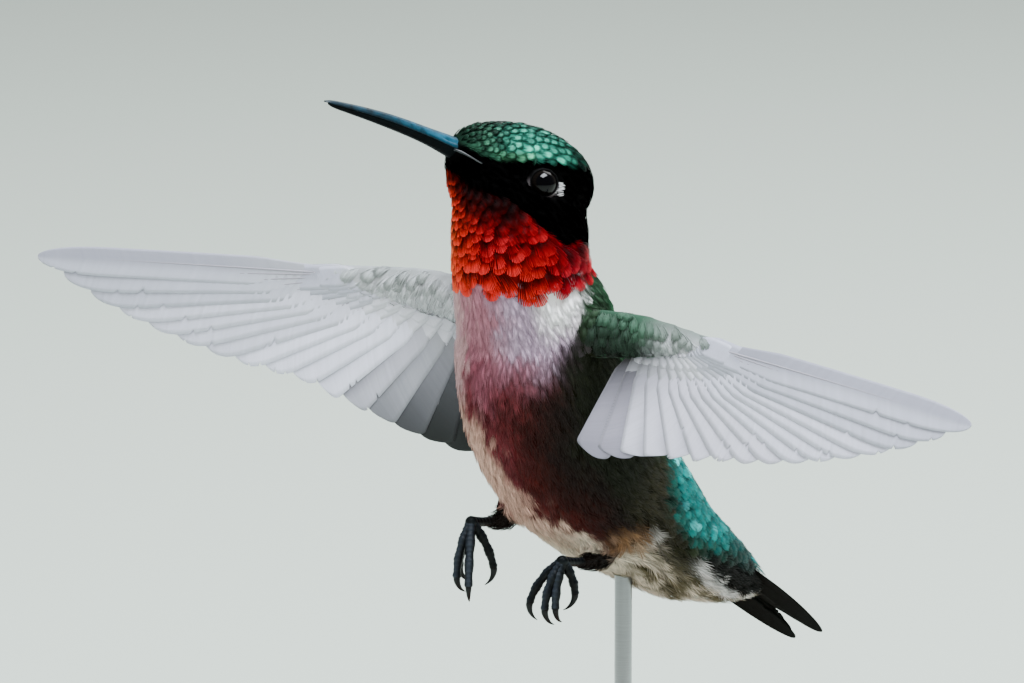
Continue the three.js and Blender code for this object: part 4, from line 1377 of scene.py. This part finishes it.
eye_tint = add_node(eye_material, "ShaderNodeAttribute", attribute_name="plumage")
add_node(eye_material, "Principled BSDF", {
    "Base Color": eye_tint.outputs["Color"], "Roughness": 0.03, "IOR": 1.25})
for side, name in ((1, "left"), (-1, "right")):
    middle = eye_middle(side)
    gaze_turn = math.radians(GAZE_TURN)
    gaze = unit(math.cos(gaze_turn) * AHEAD + side * math.sin(gaze_turn) * HEAD_LEFT + 0.2 * HEAD_UP)
    across = unit(AHEAD - (AHEAD @ gaze) * gaze)
    upward = np.cross(gaze, across)
    upward *= np.sign(upward @ HEAD_UP)
    rings, tints = [], []
    for degrees in np.linspace(1, 179, 48):
        angle = math.radians(degrees)
        radius = EYE_RADIUS + CORNEA_BULGE * max(0, 1 - (degrees / CORNEA_EDGE) ** 2)
        rings.append(ring_of(middle + gaze * radius * math.cos(angle), across, upward,
                             radius * math.sin(angle), BALL_SIDES))
        code = "010102" if degrees < PUPIL_EDGE else ("060403" if degrees < IRIS_EDGE else "030303")
        tints.append(plain(code, BALL_SIDES))
    piece = mesh_piece(f"eyeball_{name}", *loft(rings), np.concatenate(tints))
    finish_piece(piece, piece.name, eye_material, (f"eye_{name}",))
    # The lid: a rolled rim at the opening, thinning out under the face's feathers.
    rings, tints = [], []
    angle = round_angles(LID_SIDES)
    round_ball = np.cos(angle)[:, None] * across + np.sin(angle)[:, None] * upward
    for offset, rise in LID_PROFILE:
        opening = np.radians(LID_OPENING + offset + 2.0 * np.abs(np.cos(angle)))[:, None]
        radius = (EYE_RADIUS + rise + 0.02 * np.sin(angle * 11) * (offset > 4))[:, None]
        rings.append(middle + radius * np.cos(opening) * gaze + radius * np.sin(opening) * round_ball)
        pale = ease(0.4, 0.8, 0.5 - 0.5 * np.sin(angle)) * (2 < offset < 16)
        tints.append(mix(plain("020202", LID_SIDES), "6C6668", pale))
    piece = mesh_piece(f"eyelid_{name}", *loft(rings + rings[:1], closed=False),
                       np.concatenate(tints + tints[:1]))
    finish_piece(piece, piece.name, lid_material)

# ---------------------------------------------------------------------------------------------
# Bill. Two slender horn halves that meet along the gape line, the upper one a little longer and
# arched, with a slit nostril under a flap on either side at its root.

BILL_REACH, BILL_ROOT = 24, 6.5  # ahead of the skull's middle
BILL_ARCH, BILL_SINK, LOWER_SHORTFALL = 0.45, 0.15, 0.5
MOUTH_OVERLAP = 0.01  # so that no light shows between the halves
# The share of the way to the tip, half the breadth and the height of each half.
BILL_STATIONS = np.array([[0, 1.2, 1.15], [0.16, 1.05, 1.0], [0.32, 0.85, 0.8], [0.6, 0.68, 0.66],
                          [0.85, 0.5, 0.46], [0.96, 0.34, 0.32], [1, 0.16, 0.15]])


def set_ramp(ramp, *stops):
    """Sets a colour ramp's ends, each to a hex code and a place."""
    for element, (code, place) in zip(ramp.color_ramp.elements, stops):
        element.color, element.position = linear(code), place


def horn_material(name, dark, light, specular):
    """Horn with fine growth lines; the mesh carries how strong its painted shade and reflection are."""
    horn = new_material(name)
    place = add_node(horn, "ShaderNodeTexCoord")
    lines = add_node(horn, "ShaderNodeTexNoise", {
        "Vector": place.outputs["Object"], "Scale": 1200.0, "Detail": 4.0})
    tone = add_node(horn, "ShaderNodeValToRGB", {"Fac": lines.outputs["Fac"]})
    set_ramp(tone, (dark, 0.3), (light, 0.75))
    depth = add_node(horn, "ShaderNodeAttribute", attribute_name="plumage")
    colour = add_node(horn, "ShaderNodeVectorMath", {
        0: tone.outputs["Color"], 1: depth.outputs["Color"]}, operation="MULTIPLY")
    add_node(horn, "Principled BSDF", {
        "Base Color": colour.outputs["Vector"], "Roughness": 0.4, "Specular IOR Level": specular,
        "Normal": add_node(horn, "ShaderNodeBump", {
            "Strength": 0.25, "Distance": 0.00005, "Height": lines.outputs["Fac"]}).outputs["Normal"]})
    return horn


# Keratin sheaths polished by use: a soft gloss, black, with a painted blue sky reflection on the upper half.
upper_horn = horn_material(
    "bill horn, blue-black, smooth with fine growth lines", "08242F", "1F5C74", 0.16)
lower_horn = horn_material(
    "bill horn, black, smooth with fine growth lines", "010304", "04090C", 0.04)
angle = np.radians(np.linspace(0, 180, 21))
off_top = np.abs(angle - math.pi / 2)
# A slight ridge on top, sides that pull in over the cutting edge, and a flat mouth face.
ridge = 1 + 0.05 * np.exp(-(off_top / 0.3) ** 2)
edge_pinch = 1 - 0.06 * np.exp(-((off_top - 1.0) / 0.25) ** 2)
for name, way, shortfall, horn in (("bill_upper", 1, 0, upper_horn),
                                   ("bill_lower", -1, LOWER_SHORTFALL, lower_horn)):
    length = BILL_REACH - BILL_ROOT - shortfall
    rings, painted_tones = [], []
    for along, half, height in along_path(BILL_STATIONS, 8):
        arch = BILL_ARCH * math.sin(math.pi * along * length / (BILL_REACH - BILL_ROOT))
        middle = SKULL + (BILL_ROOT + along * length) * AHEAD + (arch - BILL_SINK) * HEAD_UP
        nostril = np.exp(-((along - 0.17) / 0.05) ** 2) * np.exp(-((off_top - 0.95) / 0.16) ** 2)
        pinch = edge_pinch - 0.22 * nostril * (way > 0)
        x, y = half * np.cos(angle) * pinch, height * np.sin(angle) * ridge * pinch
        x = np.concatenate([x, np.linspace(-0.8, 0.8, 5) * half])
        y = np.concatenate([y, np.full(5, MOUTH_OVERLAP)])
        rings.append(middle + x[:, None] * HEAD_LEFT + (way * y)[:, None] * HEAD_UP)
        # Painted shade and reflection: the upper half's painted blue is brightest on the ridge by the root,
        # and darkens towards the edge and the tip.
        tone = (0.3 + 0.7 * ease(0.75, 0.1, along)) * (0.35 + 0.65 * ease(0.05, 0.6, y))
        painted_tones.append(tone if way > 0 else np.ones(len(y)))
    piece = mesh_piece(name + "_horn", *loft(rings), np.repeat(np.concatenate(painted_tones)[:, None], 3, 1))
    finish_piece(piece, piece.name, horn, (name,))

# The gape: a bare horny rim that carries the bill's cutting line back under the face's feathers.
GAPE_LINE = np.array([[9.4, 1.1, -0.15], [8.6, 1.6, -0.15], [7.9, 2.1, -0.25], [7.2, 2.6, -0.42],
                      [6.5, 3.1, -0.6]])
gape_skin = plumage_material("bare gape rim, horny and grey", 0.4, fine=0.0001)
for side, name in ((1, "left"), (-1, "right")):
    line = along_path(GAPE_LINE * [1, side, 1], 5)
    line = SKULL + line[:, :1] * AHEAD + line[:, 1:2] * HEAD_LEFT + line[:, 2:] * HEAD_UP
    near, out = nearest_on(body_tree, line)
    line = near + 0.12 * out
    heading = unit(np.gradient(line, axis=0))
    size = np.interp(np.linspace(0, 1, len(line)), [0, 0.3, 1], [0.1, 0.13, 0.04])
    across = unit(np.cross(heading, out))
    places, triangles = loft([ring_of(c, a, 0.8 * o, r, 10) for c, r, a, o in zip(line, size, across, out)])
    piece = mesh_piece(f"gape_{name}", places, triangles, plain("12181B", len(places)))
    finish_piece(piece, piece.name, gape_skin)

# ---------------------------------------------------------------------------------------------
# Feet. Small dark feet with three toes forward and one back: hard scaled skin with a scute across
# each fold, and on every toe a hooked horn claw.

# Each toe's turn, its dip at the ankle and at the claw in degrees, and its length; the hind one last.
TOES = {
    "left": [(-46, 30, 75, 5.5), (-14, 45, 88, 5.4), (10, 58, 92, 5.0), (140, 50, 90, 3.8)],
    "right": [(36, 52, 80, 6.8), (-4, 50, 90, 6.0), (-30, 60, 90, 4.8), (140, 50, 80, 5.4)],
}
TOE_RADIUS, CLAW_RADIUS, CLAW_LENGTH, CLAW_HOOK = 0.46, 0.36, 1.9, 75
SHANK_FROM, SCUTE, ANKLE_RADIUS, TOE_STEP = 0.45, 0.52, 0.66, 0.1
SHANK_STEPS, CLAW_STEPS = 24, 19
# Hard scutes with a dull gloss, and claws of denser horn that shine a little more.
foot_skin = plumage_material("scaled foot skin, dark and hard", 0.34, fine=0.00012, specular=0.12)
claw_horn = plumage_material("claw horn, black and polished by wear", 0.28, fine=0.0002, specular=0.2)


def digit(start, turn, dip_from, dip_to, length, steps):
    """Points and headings of a toe that turns down evenly."""
    places, headings, place, way = [], [], np.array(start, float), math.radians(turn)
    for i in range(steps + 1):
        dip = math.radians(dip_from + (dip_to - dip_from) * i / steps)
        level = math.cos(dip)
        heading = np.array([math.sin(way) * level, -math.cos(way) * level, -math.sin(dip)])
        places.append(place.copy())
        headings.append(heading)
        place += heading * length / steps
    return np.array(places), np.array(headings)


def tube(places, headings, sideways, radii, squash=1.0, count=14):
    """Rings round a line, and for each of their points how far it is on the upper side."""
    rings, crowns = [], []
    for place, heading, radius in zip(places, headings, radii):
        side = unit(sideways - (sideways @ heading) * heading)
        upward = np.cross(heading, side)
        rings.append(ring_of(place, side, squash * upward, radius, count))
        crowns.append(np.sin(round_angles(count)) * np.sign(upward[2] + 1e-9))
    return rings, crowns


def scaled_tube(places, headings, sideways, radii, length):
    """A toe or shank: scutes step across its upper side, and small pads swell below."""
    rings, crowns = tube(places, headings, sideways, radii)
    phase = (np.linspace(0, length, len(places)) / SCUTE) % 1.0
    scaled, tints = [], []
    for ring, crown, place, cycle in zip(rings, crowns, places, phase):
        step = 0.13 * (cycle ** 1.5 - 0.4) * np.clip(crown + 0.4, 0, 1.2)
        step = step + 0.05 * np.sin(cycle * 6.3) * np.clip(-crown, 0, 1)
        scaled.append(place + (ring - place) * (1 + step)[:, None])
        # Painted highlight: the upper side is paler, most towards the end of each scute.
        pale = np.clip(crown, 0, 1) ** 3 * (0.65 + 0.35 * cycle ** 3)
        tints.append(mix(plain("040506", len(crown)), "3C444E", pale * 0.5))
    return *loft(scaled), np.concatenate(tints)


for name, toes in TOES.items():
    _, heel, ankle = LEGS[name]
    top = heel + (ankle - heel) * SHANK_FROM
    steps = np.linspace(0, 1, SHANK_STEPS)
    shank = top + (ankle - top) * steps[:, None]
    heading = np.tile(unit(ankle - heel), (SHANK_STEPS, 1))
    radii = np.interp(steps, [0, 0.5, 0.85, 1], [0.5, 0.48, 0.56, 0.62])
    parts = [scaled_tube(shank, heading, np.array([1.0, 0, 0]), radii, np.linalg.norm(ankle - top))]
    x_axis, y_axis, z_axis = np.eye(3)
    knob, faces = loft([ring_of(ankle + ANKLE_RADIUS * math.cos(a) * z_axis, x_axis, y_axis,
                                ANKLE_RADIUS * math.sin(a) + 0.001, 20)
                        for a in np.radians(np.linspace(1, 179, 14))])
    parts.append((knob, faces, plain("0C1012", len(knob))))
    claws = []
    for turn, dip_from, dip_to, length in toes:
        steps = int(length / TOE_STEP)
        places, headings = digit(ankle, turn, dip_from, dip_to, length, steps)
        sideways = np.array([math.cos(math.radians(turn)), math.sin(math.radians(turn)), 0])
        along = np.linspace(0, 1, steps + 1)
        pads = 1 + 0.1 * np.cos(along * 3 * 2 * math.pi) * ease(0.1, 0.3, along)
        radii = TOE_RADIUS * (1.15 - 0.25 * along) * pads
        radii[-3:] *= [0.95, 0.85, 0.6]
        parts.append(scaled_tube(places, headings, sideways, radii, length))
        # The claw starts within the toe's end and turns on down to a point.
        start = places[-1] - 0.25 * headings[-1]
        hook, ways = digit(start, turn, dip_to, dip_to + CLAW_HOOK, CLAW_LENGTH + 0.35, CLAW_STEPS - 1)
        along = np.linspace(0, 1, CLAW_STEPS)
        radii = CLAW_RADIUS * (1 - 0.93 * along ** 1.15) * np.interp(along, [0, 0.12, 1], [0.8, 1, 1])
        rings, _ = tube(hook, ways, sideways, radii, squash=1.15, count=12)
        claw, faces = loft(rings)
        claws.append((claw, faces, plain("060607", len(claw))))
    piece = mesh_piece(f"foot_{name}_scaled", *joined(parts))
    finish_piece(piece, piece.name, foot_skin, (f"foot_{name}",))
    piece = mesh_piece(f"claws_{name}", *joined(claws))
    finish_piece(piece, piece.name, claw_horn,
                 tuple(f"claw_{name}_{toe}" for toe in ("inner", "middle", "outer", "hind")))

# ---------------------------------------------------------------------------------------------
# Display stand. A turned walnut disc, oiled and waxed, and a brushed steel rod that is pressed into
# it and holds the bird under the belly.

BASE_RADIUS, BASE_HEIGHT, TOP_ROUNDING, FOOT_ROUNDING = 33, 6, 2.0, 0.4
ROD_RADIUS, ROD_FOOT, ROD_TOP = 0.9, 3, 32
COLLAR_TOP, COLLAR_DEPTH, RIM_ROUNDING = 7.4, 0.7, 0.15


def add_cylinder(sides, radius, low, high):
    """A cylinder between two heights, with its place in its mesh."""
    deselect()
    bpy.ops.mesh.primitive_cylinder_add(vertices=sides, radius=radius * MM, depth=(high - low) * MM,
                                        location=(0, 0, (low + high) / 2 * MM))
    bpy.ops.object.transform_apply(location=True, rotation=True, scale=True)
    return bpy.context.object


def mark(piece, kind, test):
    """Leaves edit mode, marks the edges or faces that pass a test, and goes back into it."""
    bpy.ops.object.mode_set(mode="OBJECT")
    for part in getattr(piece.data, kind):
        part.select = test(part)
    bpy.ops.object.mode_set(mode="EDIT")


def stretched(material, scale, detail, **more):
    """Noise drawn out along an axis, by its scale along each."""
    place = add_node(material, "ShaderNodeTexCoord")
    stretch = add_node(material, "ShaderNodeMapping", {"Vector": place.outputs["Object"], "Scale": scale})
    return add_node(material, "ShaderNodeTexNoise", {
        "Vector": stretch.outputs["Vector"], "Scale": 1.0, "Detail": detail, **more})


def heights(edge):
    """How high the ends of one of the base's edges are."""
    return [base.data.vertices[v].co.z / MM for v in edge.vertices]


base = add_cylinder(128, BASE_RADIUS, 0, BASE_HEIGHT)
bpy.ops.object.mode_set(mode="EDIT")
bpy.ops.mesh.select_mode(type="EDGE")
bpy.ops.mesh.select_all(action="DESELECT")
mark(base, "edges", lambda edge: min(heights(edge)) > BASE_HEIGHT - 0.1)
bpy.ops.mesh.bevel(offset=TOP_ROUNDING * MM, segments=10, profile=0.62)
mark(base, "edges", lambda edge: max(heights(edge)) < 0.1)
bpy.ops.mesh.bevel(offset=FOOT_ROUNDING * MM, segments=3)
bpy.ops.object.mode_set(mode="OBJECT")
bpy.ops.object.shade_smooth_by_angle(angle=math.radians(35))
# Walnut: dark and light grain along the board, with fine open pores that the oil leaves.
walnut = new_material("turned walnut, oiled and waxed")
grain = stretched(walnut, (30, 320, 320), 5.0, Distortion=0.6)
pores = stretched(walnut, (300, 4000, 4000), 2.0)
wood_tone = add_node(walnut, "ShaderNodeValToRGB", {"Fac": grain.outputs["Fac"]})
set_ramp(wood_tone, ("3A2418", 0.3), ("7A5236", 0.72))
add_node(walnut, "Principled BSDF", {
    "Base Color": wood_tone.outputs["Color"], "Roughness": 0.38, "Coat Weight": 0.3, "Coat Roughness": 0.3,
    "Normal": add_node(walnut, "ShaderNodeBump", {
        "Strength": 0.2, "Distance": 0.0001, "Height": pores.outputs["Fac"]}).outputs["Normal"]})
finish_piece(base, "stand_base_walnut", walnut, ("stand_base",))

# The rod, with a collar that is pushed out of it where it enters the base.
rod = add_cylinder(48, ROD_RADIUS, ROD_FOOT, ROD_TOP)
bpy.ops.object.mode_set(mode="EDIT")
bpy.ops.mesh.select_all(action="DESELECT")
mark(rod, "polygons", lambda face: abs(face.normal.z) < 0.5)
bpy.ops.mesh.select_mode(type="FACE")
bpy.ops.mesh.bisect(plane_co=(0, 0, COLLAR_TOP * MM), plane_no=(0, 0, 1))
bpy.ops.mesh.select_all(action="SELECT")
bpy.ops.mesh.bisect(plane_co=(0, 0, BASE_HEIGHT * MM), plane_no=(0, 0, 1))
mark(rod, "polygons", lambda face: abs(face.normal.z) < 0.5
     and BASE_HEIGHT * MM < face.center.z < COLLAR_TOP * MM)
bpy.ops.mesh.select_mode(type="FACE")
bpy.ops.mesh.extrude_region_shrink_fatten(TRANSFORM_OT_shrink_fatten={"value": COLLAR_DEPTH * MM})
bpy.ops.object.mode_set(mode="OBJECT")
rims = rod.modifiers.new("rims", "BEVEL")
rims.width, rims.segments = RIM_ROUNDING * MM, 3
rims.limit_method, rims.angle_limit = "ANGLE", math.radians(40)
bpy.ops.object.modifier_apply(modifier=rims.name)
bpy.ops.object.shade_smooth_by_angle(angle=math.radians(35))
# Steel: fine rings from brushing in a lathe, which vary its gloss.
steel = new_material("stainless steel rod, brushed round")
marks = stretched(steel, (300, 300, 9000), 2.0)
shine = add_node(steel, "ShaderNodeMapRange", {"Value": marks.outputs["Fac"], "To Min": 0.26, "To Max": 0.42})
grey = add_node(steel, "ShaderNodeValToRGB", {"Fac": marks.outputs["Fac"]})
set_ramp(grey, ("A9ABAE", 0), ("C9CBCD", 1))
add_node(steel, "Principled BSDF", {
    "Base Color": grey.outputs["Color"], "Metallic": 1.0, "Roughness": shine.outputs["Result"],
    "Normal": add_node(steel, "ShaderNodeBump", {
        "Strength": 0.15, "Distance": 0.00003, "Height": marks.outputs["Fac"]}).outputs["Normal"]})
finish_piece(rod, "stand_rod_steel", steel, ("stand_rod",))
